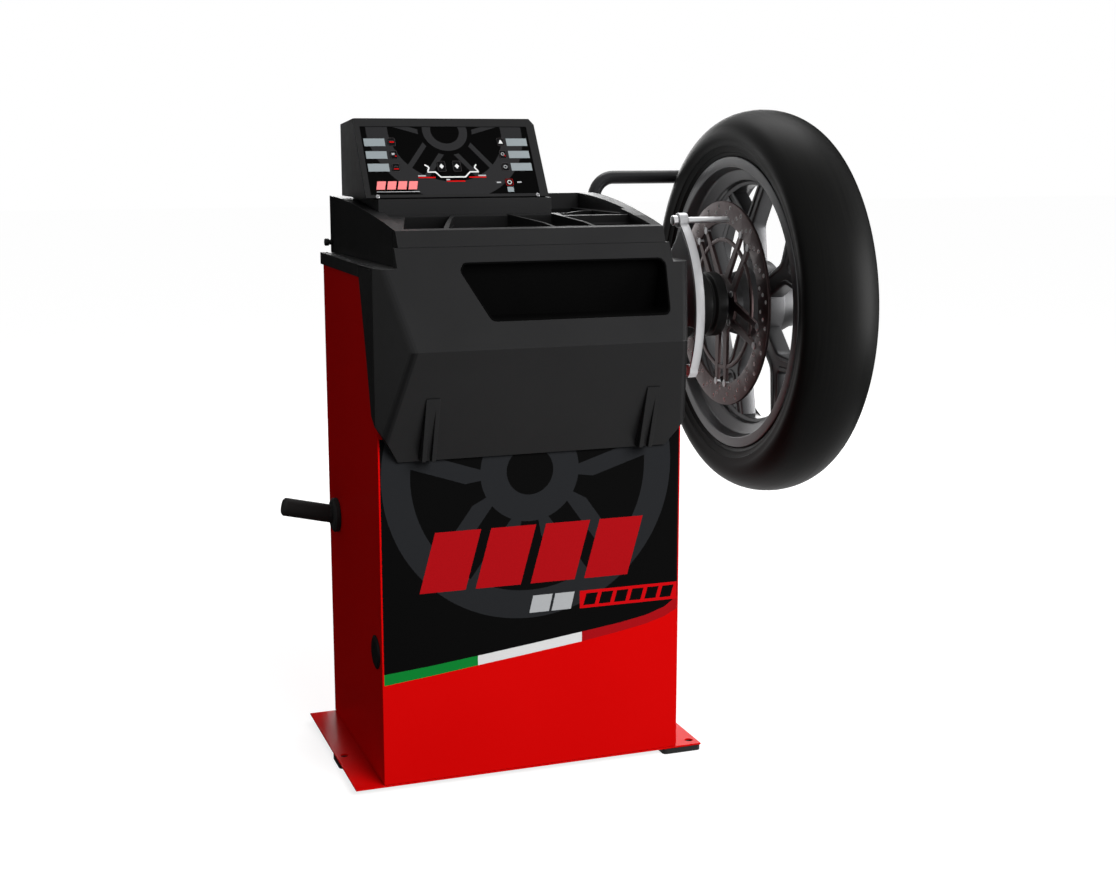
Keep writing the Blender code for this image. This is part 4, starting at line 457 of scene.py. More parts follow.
def tyre_finish():
    finish = Finish("tyre_rubber", "tyre_rubber")
    rings = finish.noise(ringed(finish, 300.0, 900.0, 1.5), 1.0, 3.0)
    skin = finish.noise(finish.place(), 800.0, 2.0)
    colour = finish.mix(rings, (0.0025, 0.0025, 0.0025), (0.0055, 0.0055, 0.0052))
    return finish.surface(colour, 0.36 + 0.16 * rings, normal=finish.bump(skin + rings * 0.6, 0.00005),
                          gloss=0.04)


def brushed(name, slot, dark, light, roughness, stretch, depth=0.00001):
    """Metal with fine lines that run along the short number of the stretch."""
    finish = Finish(name, slot)
    lines = finish.noise(finish.place(stretch), 1.0, 3.0, 0.6)
    cloud = finish.noise(finish.place(), 25.0, 2.0)
    return finish.surface(finish.mix(lines, dark, light), roughness + 0.10 * lines + 0.08 * cloud, 1.0,
                          finish.bump(lines, depth))


def ring_brushed(name, slot, dark, light, roughness):
    """Metal turned on a lathe or ground flat, with its lines round the axle."""
    finish = Finish(name, slot)
    lines = finish.noise(ringed(finish, 200.0, 2500.0, 4.0), 1.0, 2.0, 0.6)
    heat = finish.noise(finish.place(), 30.0, 2.0)
    return finish.surface(finish.mix(lines, dark, light), roughness + 0.12 * lines + 0.10 * heat, 1.0,
                          finish.bump(lines, 0.00001))


tyre_rubber = tyre_finish()
bright_steel = brushed("bright_steel", "bright_steel", (0.52, 0.52, 0.53), (0.68, 0.68, 0.69), 0.20,
                       (60, 900, 900))
turned_steel = ring_brushed("turned_steel", "bright_steel", (0.50, 0.50, 0.51), (0.64, 0.64, 0.65), 0.22)
grey_steel = brushed("grey_steel", "grey_steel", (0.10, 0.10, 0.105), (0.17, 0.17, 0.175), 0.36,
                     (500, 500, 60))
# The red-brown tint in the disc steel's colour is a painted reflection of the red cabinet.
disc_steel = ring_brushed("disc_steel", "disc_steel", (0.034, 0.023, 0.023), (0.075, 0.052, 0.052), 0.34)
satin_steel = brushed("satin_steel", "bright_steel", (0.40, 0.40, 0.41), (0.50, 0.50, 0.51), 0.34,
                      (25, 25, 25), depth=0.000002)
# Cut steel at the holes' edges, painted as a pale matt grey so the holes show as light dots: a painted
# highlight.
cut_edge_painted_highlight = painted("cut_edge_painted_highlight", "disc_steel", (0.50, 0.49, 0.49), (0.60, 0.59, 0.59), 0.40, 0.30)
screw_steel = ring_brushed("screw_steel", "bright_steel", (0.22, 0.22, 0.225), (0.34, 0.34, 0.35), 0.30)
print("metals and rubber ready")

# %% [markdown]
# ## Cast wheel
# The wheel is cast, then coated a dark graphite. The coat is satin and has tiny flakes.


# %% Cast finish and small electronics
def cast_finish():
    finish = Finish("cast_wheel", "cast_wheel")
    place = finish.place()
    flakes = finish.noise(place, 1500.0, 1.0)
    cloud = finish.noise(place, 14.0, 3.0)
    colour = finish.mix(flakes, (0.045, 0.045, 0.047), (0.080, 0.080, 0.082))
    return finish.surface(colour, 0.30 + 0.14 * cloud, 0.80, finish.bump(flakes, 0.00002))


def board_finish():
    finish = Finish("circuit_board", "circuit_board")
    traces = finish.node("ShaderNodeTexBrick", {"offset": 0.35}, {
        "Vector": finish.place((420, 420, 420)), "Scale": 1.0, "Mortar Size": 0.09,
        "Color1": rgba(shade(14, 74, 40)), "Color2": rgba(shade(18, 88, 46)),
        "Mortar": rgba(shade(52, 132, 78)),
    })
    return finish.surface(traces, 0.42, gloss=0.4)


cast_wheel = cast_finish()
circuit_board = board_finish()
print("cast and board finishes ready")

# %% [markdown]
# ## Printed graphics
# The front carries a printed film: a dark field with the outline of a wheel in a slightly lighter
# grey. One spoke's bars are drawn once, and folding the angle repeats them round the hub.


# %% Printed finishes
DRAWN_SPOKES = 5
LEAN = math.radians(33.4)
display_corner = at(0.022, 0.128, 0.837)


def wheel_drawing(finish, across, high, outer, inner, hub, hole, bar_apart, bar_half, bar_start):
    """1 where a drawn wheel is: a rim, a hub, and a pair of straight bars for each spoke."""
    far, turn = finish.polar(across, high)
    pitch = FULL_TURN / DRAWN_SPOKES
    aside = abs(turn.maths("FLOORED_MODULO", turn + 0.32, pitch) - pitch / 2)
    bars = (abs(far * aside.maths("SINE", aside) - bar_apart) < bar_half) * (far < inner)
    bars = bars * (far > bar_start) * (aside < pitch * 0.36)
    rim = (far < outer) * (far > inner)
    boss = (far < hub) * (far > hole)
    return bars.most(rim).most(boss)


def front_print():
    finish = Finish("front_print")
    x, _, z = finish.split(finish.place(origin=tuple(at(0.2213, 0.0, 0.4566))))
    drawing = wheel_drawing(finish, x, z, 0.2176, 0.176, 0.074, 0.035, 0.030, 0.0125, 0.035)
    grain = finish.noise(finish.place(), 900.0, 2.0)
    colour = finish.mix(drawing, shade(9, 9, 9), shade(35, 36, 38))
    return finish.surface(colour, 0.36 + 0.1 * grain, normal=finish.bump(grain, 0.00001), gloss=0.01)


def display_film():
    finish = Finish("display_film", "panel_film")
    x, y, z = finish.split(finish.place(origin=tuple(display_corner)))
    high = y * math.sin(LEAN) + z * math.cos(LEAN)
    drawing = wheel_drawing(finish, x - 0.134, high - 0.1150, 0.118, 0.086, 0.034, 0.0215, 0.014, 0.0038,
                            0.041)
    grain = finish.noise(finish.place(), 1500.0, 1.0)
    colour = finish.mix(drawing, shade(7, 7, 7), shade(40, 40, 41))
    return finish.surface(colour, 0.30 + 0.08 * grain, normal=finish.bump(grain, 0.000006), gloss=0.004)


def ink(name, colour, slot=None, roughness=0.38):
    """A flat printing ink, with the faint mottle of a screen print."""
    finish = Finish(name, slot)
    mottle = finish.noise(finish.place(), 400.0, 3.0)
    darker = tuple(part * 0.9 for part in colour)
    return finish.surface(finish.mix(mottle, darker, colour), roughness + 0.08 * mottle,
                          normal=finish.bump(mottle, 0.000008), gloss=0.01)


front_film = front_print()
panel_film = display_film()
key_film = ink("key_film", shade(16, 16, 17), "key_film", 0.30)
ink_green = ink("ink_green", shade(16, 124, 48))
ink_white = ink("ink_white", shade(214, 214, 214))
ink_dark_red = ink("ink_dark_red", shade(160, 16, 22))
ink_red = ink("ink_red", shade(164, 15, 21))
ink_badge_red = ink("ink_badge_red", shade(196, 10, 16))
ink_black = ink("ink_black", shade(9, 9, 9))
ink_grey = ink("ink_grey", shade(168, 170, 172))
ink_pale_red = ink("ink_pale_red", shade(238, 128, 128))
ink_bright_red = ink("ink_bright_red", shade(190, 14, 14))
ink_line = ink("ink_line", shade(70, 66, 67))
window_grey = ink("window_grey", shade(134, 142, 145))
print("inks ready")

# %% [markdown]
# ## Shaping tools
# Most pieces here come from three moves: spin a profile round an axis, push an outline out into a
# slab, or ease the hard edges of a form. Each has its own helper, built on bmesh's operators.

# %% Making a piece from a bmesh
def done(name, shape, finish, body, replaces=(), angle=35, solid=True, flat=False):
    """Close a bmesh into a piece, give it its finish, and let it ride on its body."""
    if solid:
        bmesh.ops.recalc_face_normals(shape, faces=shape.faces)
    mesh = bpy.data.meshes.new(name)
    shape.to_mesh(mesh)
    shape.free()
    mesh.shade_smooth()
    mesh.set_sharp_from_angle(angle=math.radians(angle))
    mesh.materials.append(finish.material)
    made = bpy.data.objects.new(name, mesh)
    bpy.context.scene.collection.objects.link(made)
    if flat:
        made.modifiers.new("flat_faces", "WEIGHTED_NORMAL").keep_sharp = True
    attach(made, body)
    if replaces:
        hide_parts(*replaces)
    print(name, "has", len(mesh.polygons), "faces")


def turned(profile, origin, steps=96, closed=False):
    """Spin (x, radius) points round the line along X through an origin."""
    shape = bmesh.new()
    points = [shape.verts.new((x, 0.0, radius)) for x, radius in profile]
    pairs = list(zip(points, points[1:]))
    if closed:
        pairs.append((points[-1], points[0]))
    for pair in pairs:
        shape.edges.new(pair)
    bmesh.ops.spin(shape, geom=shape.verts[:] + shape.edges[:], cent=(0, 0, 0), axis=(1, 0, 0),
                   dvec=(0, 0, 0), angle=FULL_TURN, steps=steps, use_merge=True, use_duplicate=False)
    bmesh.ops.remove_doubles(shape, verts=shape.verts, dist=1e-6)
    bmesh.ops.recalc_face_normals(shape, faces=shape.faces)
    bmesh.ops.translate(shape, vec=origin, verts=shape.verts)
    return shape


def eased(corners, closed=False, steps=4):
    """Replace each (a, b, radius) corner with a short arc."""
    points = []
    count = len(corners)
    for index, (a, b, radius) in enumerate(corners):
        here = Vector((a, b))
        if radius <= 0 or (not closed and index in (0, count - 1)):
            points.append(tuple(here))
            continue
        before = Vector(corners[index - 1][:2]) - here
        after = Vector(corners[(index + 1) % count][:2]) - here
        half = before.angle(after) / 2
        if half > math.radians(88):
            points.append(tuple(here))
            continue
        reach = min(radius / math.tan(half), 0.45 * before.length, 0.45 * after.length)
        used = reach * math.tan(half)
        middle = here + (before.normalized() + after.normalized()).normalized() * (used / math.sin(half))
        first = here + before.normalized() * reach - middle
        last = here + after.normalized() * reach - middle
        for step in range(steps + 1):
            points.append(tuple(middle + first.lerp(last, step / steps).normalized() * used))
    return points


def ease_edges(shape, width, segments=2, angle=30):
    """Bevel the edges whose faces meet at more than an angle."""
    hard = [edge for edge in shape.edges
            if len(edge.link_faces) == 2 and edge.calc_face_angle(0.0) > math.radians(angle)]
    bmesh.ops.bevel(shape, geom=hard, offset=width, offset_type="OFFSET", segments=segments, profile=0.5,
                    affect="EDGES", clamp_overlap=True, material=-1)
    return shape


def spun(line, origin, steps, closed=False):
    """Spin a line of (x, radius, corner radius) with its corners eased."""
    return turned(eased(line, closed), origin, steps, closed)


def lathe(name, line, origin, steps, finish, body, node=None, closed=False):
    """Make a spun piece, in the place of a CAD node if one is named."""
    done(name, spun(line, origin, steps, closed), finish, body, (node,) if node else ())


Plane = namedtuple("Plane", "origin right up out")
front_plane = Plane(at(0, 0, 0), RIGHT, UP, -BACK)
display_plane = Plane(
    display_corner, RIGHT,
    Vector((0, math.sin(LEAN), math.cos(LEAN))), Vector((0, -math.cos(LEAN), math.sin(LEAN))),
)
wheel_plane = Plane(wheel_middle, BACK, UP, RIGHT)
axle_plane = Plane(axle, BACK, UP, RIGHT)


def box_outline(left, right, low, high):
    return [(left, low), (right, low), (right, high), (left, high)]


def outlined(shape, outline, plane, height):
    """Add a face with an outline, at a height over a plane."""
    base = plane.origin + plane.out * height
    return shape.faces.new([shape.verts.new(base + plane.right * a + plane.up * b) for a, b in outline])


def push_out(shape, faces, vector):
    """Draw faces out along a vector, with walls round them."""
    bmesh.ops.translate(shape, vec=vector,
                        verts=picked(bmesh.ops.extrude_face_region(shape, geom=faces)))
    return shape


def slab(shape, outline, plane, low, high):
    """Add an outline on a plane to a shape, pushed out from one height to another."""
    return push_out(shape, [outlined(shape, outline, plane, low)], plane.out * (high - low))


def softened(node, finish, width, segments=2, angle=30, tiny=0.0):
    """A copy of a CAD node with its hard edges eased, in that node's place."""
    shape = bmesh.new()
    shape.from_mesh(nodes[node].data)
    bmesh.ops.remove_doubles(shape, verts=shape.verts, dist=2e-6)
    bmesh.ops.dissolve_limit(shape, angle_limit=math.radians(1), verts=shape.verts, edges=shape.edges)
    if tiny:
        bmesh.ops.remove_doubles(shape, verts=shape.verts, dist=tiny)
    ease_edges(shape, width, segments, angle)
    done(f"{node}_skin", shape, finish, nodes[node]["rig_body"], (node,), solid=False, flat=True)


def with_modifiers(shapes, operation):
    """Join or cut bmeshes with Boolean modifiers: the first is the body, the others are the tools."""
    made = []
    for index, shape in enumerate(shapes):
        mesh = bpy.data.meshes.new(f"step_{index}")
        shape.to_mesh(mesh)
        shape.free()
        made.append(bpy.data.objects.new(f"step_{index}", mesh))
        bpy.context.scene.collection.objects.link(made[-1])
    for tool in made[1:]:
        step = made[0].modifiers.new(tool.name, "BOOLEAN")
        step.operation = operation
        step.solver = "EXACT"
        step.object = tool
    view = bpy.context.evaluated_depsgraph_get()
    result = bmesh.new()
    result.from_mesh(made[0].evaluated_get(view).to_mesh())
    for thing in made:
        bpy.data.objects.remove(thing, do_unlink=True)
    return result


def gathered(shapes):
    """One bmesh with all the forms of some others, which it uses up."""
    whole = bmesh.new()
    held = bpy.data.meshes.new("held")
    for shape in shapes:
        shape.to_mesh(held)
        shape.free()
        whole.from_mesh(held)
    bpy.data.meshes.remove(held)
    return whole


print("tools ready")

# %% [markdown]
# ## Cabinet
# Bent sheet and moulded parts have no knife edges. The CAD nodes have the right forms, so each is
# copied, its loose triangles are merged, and its edges are eased by the radius of its own making.

# %% Cabinet, base, lid and covers
for node, finish, *sizes in (
    ("cabinet_shell", red_paint, 0.0012, 3), ("base_plate", red_paint, 0.0006),
    ("rear_panel", red_paint, 0.0004), ("top_lid", black_plastic, 0.0006),
    # The pocket liner's finish carries painted shade.
    ("front_hood", black_plastic, 0.0010, 3, 10, 0.0007), ("pocket_liner", pocket_liner_painted_shade, 0.0006),
    ("clip_rail_left", black_plastic, 0.0006), ("clip_rail_right", black_plastic, 0.0006),
    # The tray's finish carries painted shade in its bays.
    ("weight_tray", tray_plastic_painted_shade, 0.0010, 3), ("display_pedestal", black_plastic, 0.0008),
    ("display_case", black_plastic, 0.0015, 3), ("display_bezel", black_plastic, 0.0007),
    ("mains_inlet", black_plastic, 0.0004), ("switch_rocker", rubber, 0.0006),
    ("guard_bracket", black_paint, 0.0006),
):
    softened(node, finish, *sizes)

# %% [markdown]
# ## Front film
# The film is a real layer on the sheet: a field cut along a curve at its foot, and a narrow band in
# three colours below it. The bars in the place of the lettering are plain slanted blocks.

# %% Field and band
FILM = 0.00012
band_top = [(0.0027, 0.1766), (0.0697, 0.1823), (0.1412, 0.1901), (0.2203, 0.1992), (0.3010, 0.2093),
            (0.3612, 0.2170), (0.4028, 0.2245), (0.4327, 0.2347), (0.4527, 0.2490)]
band_foot = [(0.0027, 0.1604), (0.0697, 0.1674), (0.1412, 0.1757), (0.2203, 0.1848), (0.3010, 0.1944),
             (0.3612, 0.2035), (0.4028, 0.2110), (0.4327, 0.2195), (0.4527, 0.2300)]
field = slab(bmesh.new(), band_top + [(0.4527, 0.5150), (0.0027, 0.5150)], front_plane, 0.00001, FILM)
done("front_field", field, front_film, "cabinet")
for name, finish, first, last in (
    ("band_green", ink_green, 0, 2), ("band_white", ink_white, 2, 4), ("band_dark_red", ink_dark_red, 4, 8)
):
    outline = band_foot[first:last + 1] + band_top[first:last + 1][::-1]
    done(name, slab(bmesh.new(), outline, front_plane, 0.00001, FILM), finish, "cabinet")


# %% Slanted blocks
def slanted(shape, left, right, low, high, count, share, slant, plane, lift, depth=0.0001):
    """Add a row of blocks that lean to the right, each a share of its pitch wide."""
    pitch = (right - left - slant) / (count - 1 + share)
    for index in range(count):
        start = left + index * pitch
        end = start + pitch * share
        outline = [(start, low), (end, low), (end + slant, high), (start + slant, high)]
        slab(shape, outline, plane, lift, lift + depth)
    return shape


on_film = FILM + 0.00002


def front_blocks(name, finish, *row, lift=on_film):
    done(name, slanted(bmesh.new(), *row, front_plane, lift), finish, "cabinet")


front_blocks("front_blocks", ink_red, 0.056, 0.396, 0.2900, 0.3770, 4, 0.82, 0.024)
front_blocks("badge_blocks", ink_grey, 0.2195, 0.2895, 0.2460, 0.2715, 2, 0.88, 0.006)
badge = slab(bmesh.new(), box_outline(0.2975, 0.4520, 0.2450, 0.2715), front_plane, on_film, on_film + 0.0001)
done("badge_field", badge, ink_badge_red, "cabinet")
front_blocks("badge_bars", ink_black, 0.3030, 0.4470, 0.2495, 0.2670, 6, 0.74, 0.005, lift=on_film + 0.00012)

# %% [markdown]
# ## Display
# The display is a printed film behind a bezel, with raised keys. Windows, lines and signs are inks:
# thin layers on the film, or on a key, where they move with it.

# %% Windows, rim line and marks
FILM_FRONT = -0.0012
PRINT = 0.00010
film_lift = FILM_FRONT + 0.00002


def film_print(shape, outline):
    """Add a thin layer of ink on the display's film."""
    slab(shape, outline, display_plane, film_lift, film_lift + PRINT)


windows = bmesh.new()
for left, right in ((0.0104, 0.0413), (0.2255, 0.2575)):
    for low, high in ((0.0892, 0.1021), (0.0680, 0.0806), (0.0465, 0.0596)):
        film_print(windows, box_outline(left, right, low, high))
film_print(windows, box_outline(0.2130, 0.2225, 0.0104, 0.0189))
done("display_windows", windows, window_grey, "cabinet")


def ribbon(points, width):
    """The outline of a line of one width through some points."""
    sides = ([], [])
    places = [Vector(point) for point in points]
    for index, here in enumerate(places):
        before = (here - places[index - 1]).normalized() if index else None
        after = (places[index + 1] - here).normalized() if index + 1 < len(places) else None
        before, after = before or after, after or before
        across = Vector((-(before + after).y, (before + after).x)).normalized()
        half = width / 2 / max(across.dot(Vector((-before.y, before.x))), 0.5)
        sides[0].append(tuple(here + across * half))
        sides[1].append(tuple(here - across * half))
    return sides[0] + sides[1][::-1]


rim_line = bmesh.new()
for points in (
    [(0.0941, 0.0574), (0.0985, 0.0545), (0.1000, 0.0520), (0.0980, 0.0478), (0.0974, 0.0452)],
    [(0.0968, 0.0450), (0.1087, 0.0450), (0.1156, 0.0365), (0.1525, 0.0365), (0.1610, 0.0450),
     (0.1742, 0.0450)],
    [(0.1738, 0.0452), (0.1722, 0.0478), (0.1690, 0.0520), (0.1697, 0.0545), (0.1722, 0.0574)],
):
    film_print(rim_line, ribbon(points, 0.0021))
done("display_rim_line", rim_line, ink_white, "cabinet")

for name, finish, height, places in (
    ("display_red_marks", ink_bright_red, 0.0020,
     ((0.0819, 0.1075, 0.0350), (0.1580, 0.1840, 0.0350), (0.1230, 0.1510, 0.0285))),
    ("display_grey_marks", ink_grey, 0.0022,
     ((0.0819, 0.0935, 0.0376), (0.1725, 0.1840, 0.0376), (0.1230, 0.1285, 0.0311),
      (0.1985, 0.2050, 0.0256), (0.2300, 0.2365, 0.0256))),
):
    marks = bmesh.new()
    for left, right, low in places:
        film_print(marks, box_outline(left, right, low, low + height))
    done(name, marks, finish, "cabinet")

name_place = slanted(bmesh.new(), 0.0170, 0.0800, 0.0165, 0.0300, 4, 0.80, 0.0035, display_plane, film_lift,
                     PRINT)
done("display_blocks", name_place, ink_pale_red, "cabinet")
name_line = bmesh.new()
film_print(name_line, box_outline(0.0170, 0.0800, 0.0122, 0.0131))
done("display_line", name_line, ink_grey, "cabinet")

# %% [markdown]
# Each key has a thin frame and a sign. A ring or a frame is a face with a smaller one inset and
# taken out, so its line has one width all round.


# %% Signs on the keys
def hollow(shape, outline, plane, low, high, line):
    """Add a closed line along an outline: inset a face, drop its middle, and push the rest out."""
    face = outlined(shape, outline, plane, low)
    shape.normal_update()
    ring = bmesh.ops.inset_region(shape, faces=[face], thickness=line, use_boundary=True,
                                  use_even_offset=True)["faces"]
    bmesh.ops.delete(shape, geom=[face], context="FACES_ONLY")
    return push_out(shape, ring, plane.out * (high - low))


def circle_outline(a, b, radius, steps=20):
    return [(a + x, b + y) for x, y in on_circle(radius, [360 * index / steps for index in range(steps)])]


def rounded_outline(a, b, half_width, half_height, radius):
    corners = [(a - half_width, b - half_height, radius), (a + half_width, b - half_height, radius),
               (a + half_width, b + half_height, radius), (a - half_width, b + half_height, radius)]
    return eased(corners, closed=True, steps=3)


KEY_FRONT = -0.0005
key_lift = KEY_FRONT + 0.00002
key_high = key_lift + 0.00008
keys = {
    "left_top": (0.0513, 0.0958), "left_middle": (0.0513, 0.0742), "left_low": (0.0513, 0.0529),
    "right_top": (0.2164, 0.0958), "right_middle": (0.2164, 0.0742), "right_low": (0.2164, 0.0529),
    "centre_left": (0.1192, 0.0543), "centre_right": (0.1424, 0.0543), "start": (0.2178, 0.0264),
}
for key, (a, b) in keys.items():
    low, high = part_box(f"key_{key}")
    half_width = (high.x - low.x) / 2 - 0.0007
    half_height = (high.z - low.z) / 2 / math.cos(LEAN) - 0.0007 if key != "start" else 0.0055
    line = hollow(bmesh.new(), rounded_outline(a, b, half_width, half_height, 0.0015), display_plane,
                  key_lift, key_high, 0.00035)
    done(f"frame_{key}", line, ink_line if key != "start" else ink_bright_red, f"button_{key}")


# A sign is drawn round its key's middle. One with a line width is hollow, and the others are filled.
rhomb = [(0, -0.0042), (0.0034, 0), (0, 0.0042), (-0.0034, 0)]
arc = ribbon([(-0.0028, 0), (-0.0018, 0.0016), (0, 0.0022), (0.0018, 0.0016), (0.0028, 0)], 0.0008)
signs = (
    ("left_top", "bar", ink_bright_red, box_outline(-0.0034, 0.0034, -0.0012, 0.0010), 0),
    ("left_top", "line", ink_line, box_outline(-0.0034, 0.0034, 0.0020, 0.0026), 0),
    ("left_middle", "block", ink_grey, box_outline(-0.0030, 0.0010, -0.0004, 0.0030), 0),
    ("left_middle", "arrow", ink_bright_red, [(0.0012, -0.0034), (0.0040, -0.0034), (0.0026, -0.0004)], 0),
    ("left_low", "bar", ink_bright_red, box_outline(-0.0034, 0.0034, -0.0034, -0.0018), 0),
    ("left_low", "arc", ink_line, arc, 0),
    ("right_top", "cone", ink_white,
     [(-0.0034, -0.0030), (0.0034, -0.0030), (0.0008, 0.0030), (-0.0008, 0.0030)], 0),
    ("right_middle", "ring", ink_grey, circle_outline(-0.0004, 0.0006, 0.0026), 0.0008),
    ("right_middle", "grip", ink_bright_red, ribbon([(0.0016, -0.0014), (0.0036, -0.0034)], 0.0010), 0),
    ("right_low", "ring", ink_grey, circle_outline(0, 0, 0.0029), 0.0009),
    ("centre_left", "rhomb", ink_white, rhomb, 0),
    ("centre_right", "rhomb", ink_white, rhomb, 0),
    ("start", "ring", ink_white, circle_outline(0, 0, 0.0034), 0.0010),
)
for key, part, finish, outline, line in signs:
    a, b = keys[key]
    outline = [(a + x, b + y) for x, y in outline]
    heights = (display_plane, key_lift, key_high)
    shape = hollow(bmesh.new(), outline, *heights, line) if line else slab(bmesh.new(), outline, *heights)
    done(f"sign_{key}_{part}", shape, finish, f"button_{key}")

# %% [markdown]
# ## Tyre
# A tyre is one lathe form. The crown is half an ellipse, as on a rounded motorcycle tyre, and each
# sidewall has a low rib by the rim that keeps the bead seated and sheds water.

# %% Tyre
RIM_RADIUS = 0.2285
RIM_HALF = 0.0505
FLANGE = 0.005
SEAT = 0.215
SHOULDER = 0.0295
CROWN = 0.300
TYRE_HALF = 0.060
SIDE_HEIGHT = 0.262
RUBBER_DEPTH = 0.009
FIT = 0.0003

bead = RIM_HALF - FLANGE - FIT
outer_side = [(bead, SEAT + FIT), (bead, RIM_RADIUS + 0.0008), (bead + 0.0032, RIM_RADIUS + 0.0012),
              (0.0498, 0.2330), (0.0516, 0.2352), (0.0528, 0.2356), (0.0532, 0.2372), (0.0535, 0.2390),
              (0.0556, 0.2440), (0.0568, 0.2446), (0.0572, 0.2460), (0.0576, 0.2490)]


def crown(depth, start, steps):
    """Places on the half ellipse at a depth below the tread, from an angle up to its top."""
    turns = [start + (math.pi / 2 - start) * index / steps for index in range(steps)]
    side = [((TYRE_HALF - depth) * math.cos(turn),
             SIDE_HEIGHT + (CROWN - depth - SIDE_HEIGHT) * math.sin(turn)) for turn in turns]
    return side + [(0.0, CROWN - depth)]


outer_side += crown(0.0, math.radians(-14), 22)
inner_side = [(SHOULDER + 2 * FIT, SEAT + FIT), (SHOULDER + 0.005, RIM_RADIUS)]
inner_side += crown(RUBBER_DEPTH, 0.0, 10)
tyre_profile = outer_side + [(-x, r) for x, r in reversed(outer_side[:-1])]
tyre_profile += [(-x, r) for x, r in inner_side] + list(reversed(inner_side[:-1]))
done("tyre_skin", turned(tyre_profile, wheel_middle, 144, closed=True), tyre_rubber, "wheel", ("tyre",))

# %% [markdown]
# ## Wheel
# The cast wheel is three forms that overlap: a rim barrel and a hub, both spun, and five forked
# spokes. A spoke is one outline pushed out into a slab, with eased edges and a sunk face, and its
# copies are turned round the axle. A union makes them one casting.

# %% Rim barrel and hub
WALL = 0.0055
WELL = 0.196
WELL_HALF = 0.021
INNER = WELL - WALL
barrel = [(RIM_HALF, RIM_RADIUS, 0.0018), (RIM_HALF - FLANGE, RIM_RADIUS, 0.0018),
          (RIM_HALF - FLANGE, SEAT, 0.002), (SHOULDER, SEAT - 0.001, 0.004), (WELL_HALF, WELL, 0.005)]
barrel += [(-x, r, radius) for x, r, radius in reversed(barrel)]
inner_line = [(RIM_HALF, SEAT - WALL / 2, 0.002), (SHOULDER + WALL / 2, SEAT - 0.001 - WALL, 0.006),
              (WELL_HALF + WALL / 2, INNER, 0.006), (0.0150, INNER, 0.003), (0.0120, 0.1845, 0.002)]
barrel += [(-x, r, radius) for x, r, radius in inner_line] + list(reversed(inner_line))
rim_shape = spun(barrel, wheel_middle, 120, closed=True)

hub_line = [(-0.058, 0.015, 0.001), (-0.058, 0.046, 0.0015), (-0.048, 0.046, 0.002), (-0.017, 0.056, 0.006),
            (-0.0150, 0.066, 0.002), (0.0150, 0.066, 0.002), (0.017, 0.056, 0.006), (0.050, 0.041, 0.004),
            (0.058, 0.040, 0.0015), (0.058, 0.015, 0.001)]
hub_shape = spun(hub_line, wheel_middle, 120, closed=True)
print("rim and hub spun")

# %% Spokes
SPOKES = 5
SPOKE_HALF = 0.0130
FIRST_SPOKE = 81
spoke_line = [(0.050, -0.017, 0.0), (0.118, -0.017, 0.022), (0.1785, -0.0702, 0.0), (0.1858, -0.0484, 0.0),
              (0.1400, -0.0034, 0.004), (0.1400, 0.0034, 0.004), (0.1858, 0.0484, 0.0), (0.1785, 0.0702, 0.0),
              (0.118, 0.017, 0.022), (0.050, 0.017, 0.0)]
spoke_shapes = []
for index in range(SPOKES):
    spoke = slab(bmesh.new(), eased(spoke_line, closed=True), wheel_plane, -SPOKE_HALF, SPOKE_HALF)
    bmesh.ops.recalc_face_normals(spoke, faces=spoke.faces)
    ease_edges(spoke, 0.0030, 3, 60)
    for cap in [face for face in spoke.faces if abs(face.normal.x) > 0.99]:
        bmesh.ops.inset_region(spoke, faces=[cap], thickness=0.0035, depth=0.0)
        bmesh.ops.inset_region(spoke, faces=[cap], thickness=0.0015, depth=-0.0020)
    bmesh.ops.rotate(spoke, verts=spoke.verts, cent=wheel_middle,
                     matrix=Matrix.Rotation(math.radians(FIRST_SPOKE + 360 / SPOKES * index), 3, "X"))
    spoke_shapes.append(spoke)
wheel_shape = with_modifiers([rim_shape, hub_shape] + spoke_shapes, "UNION")
done("wheel_casting", wheel_shape, cast_wheel, "wheel", ("wheel_rim",), angle=32, solid=False)

# %% [markdown]
# ## Brake disc
# The ring is flat steel, drilled in slanting rows so that the pads shed heat and water, and it
# floats on bobbins between the ring and its carrier.

# %% Disc, carrier, bobbins and bolts
DISC_LEFT = -0.0633
DISC_RIGHT = DISC_LEFT + 0.005
disc_line = [(DISC_LEFT, 0.126, 0.0006), (DISC_LEFT, 0.160, 0.0006), (DISC_RIGHT, 0.160, 0.0006),
             (DISC_RIGHT, 0.126, 0.0006)]
disc_shape = turned(eased(disc_line, closed=True, steps=2), wheel_middle, 120, closed=True)
holes = [place for row in range(24) for step, radius in enumerate((0.1340, 0.1430, 0.1520))
         for place in on_circle(radius, [15 * row + 4.5 * step])]
drills = bmesh.new()
for back, up in holes:
    place = wheel_middle + Vector(((DISC_LEFT + DISC_RIGHT) / 2, back, up))
    bmesh.ops.create_cone(drills, cap_ends=True, segments=12, radius1=0.0030, radius2=0.0030, depth=0.02,
                          matrix=Matrix.Translation(place) @ Matrix.Rotation(math.pi / 2, 4, "Y"))
done("brake_disc_drilled", with_modifiers([disc_shape, drills], "DIFFERENCE"), disc_steel, "wheel",
     ("brake_disc",), solid=False)
softened("disc_carrier", disc_steel, 0.0005)


def studs(profile, places, finish, name, body, origin, steps=16, closed=False):
    """Spin one small profile and set it down at several (back, up) places."""
    shapes = [turned(profile, origin + Vector((0, back, up)), steps, closed) for back, up in places]
    done(name, gathered(shapes), finish, body)


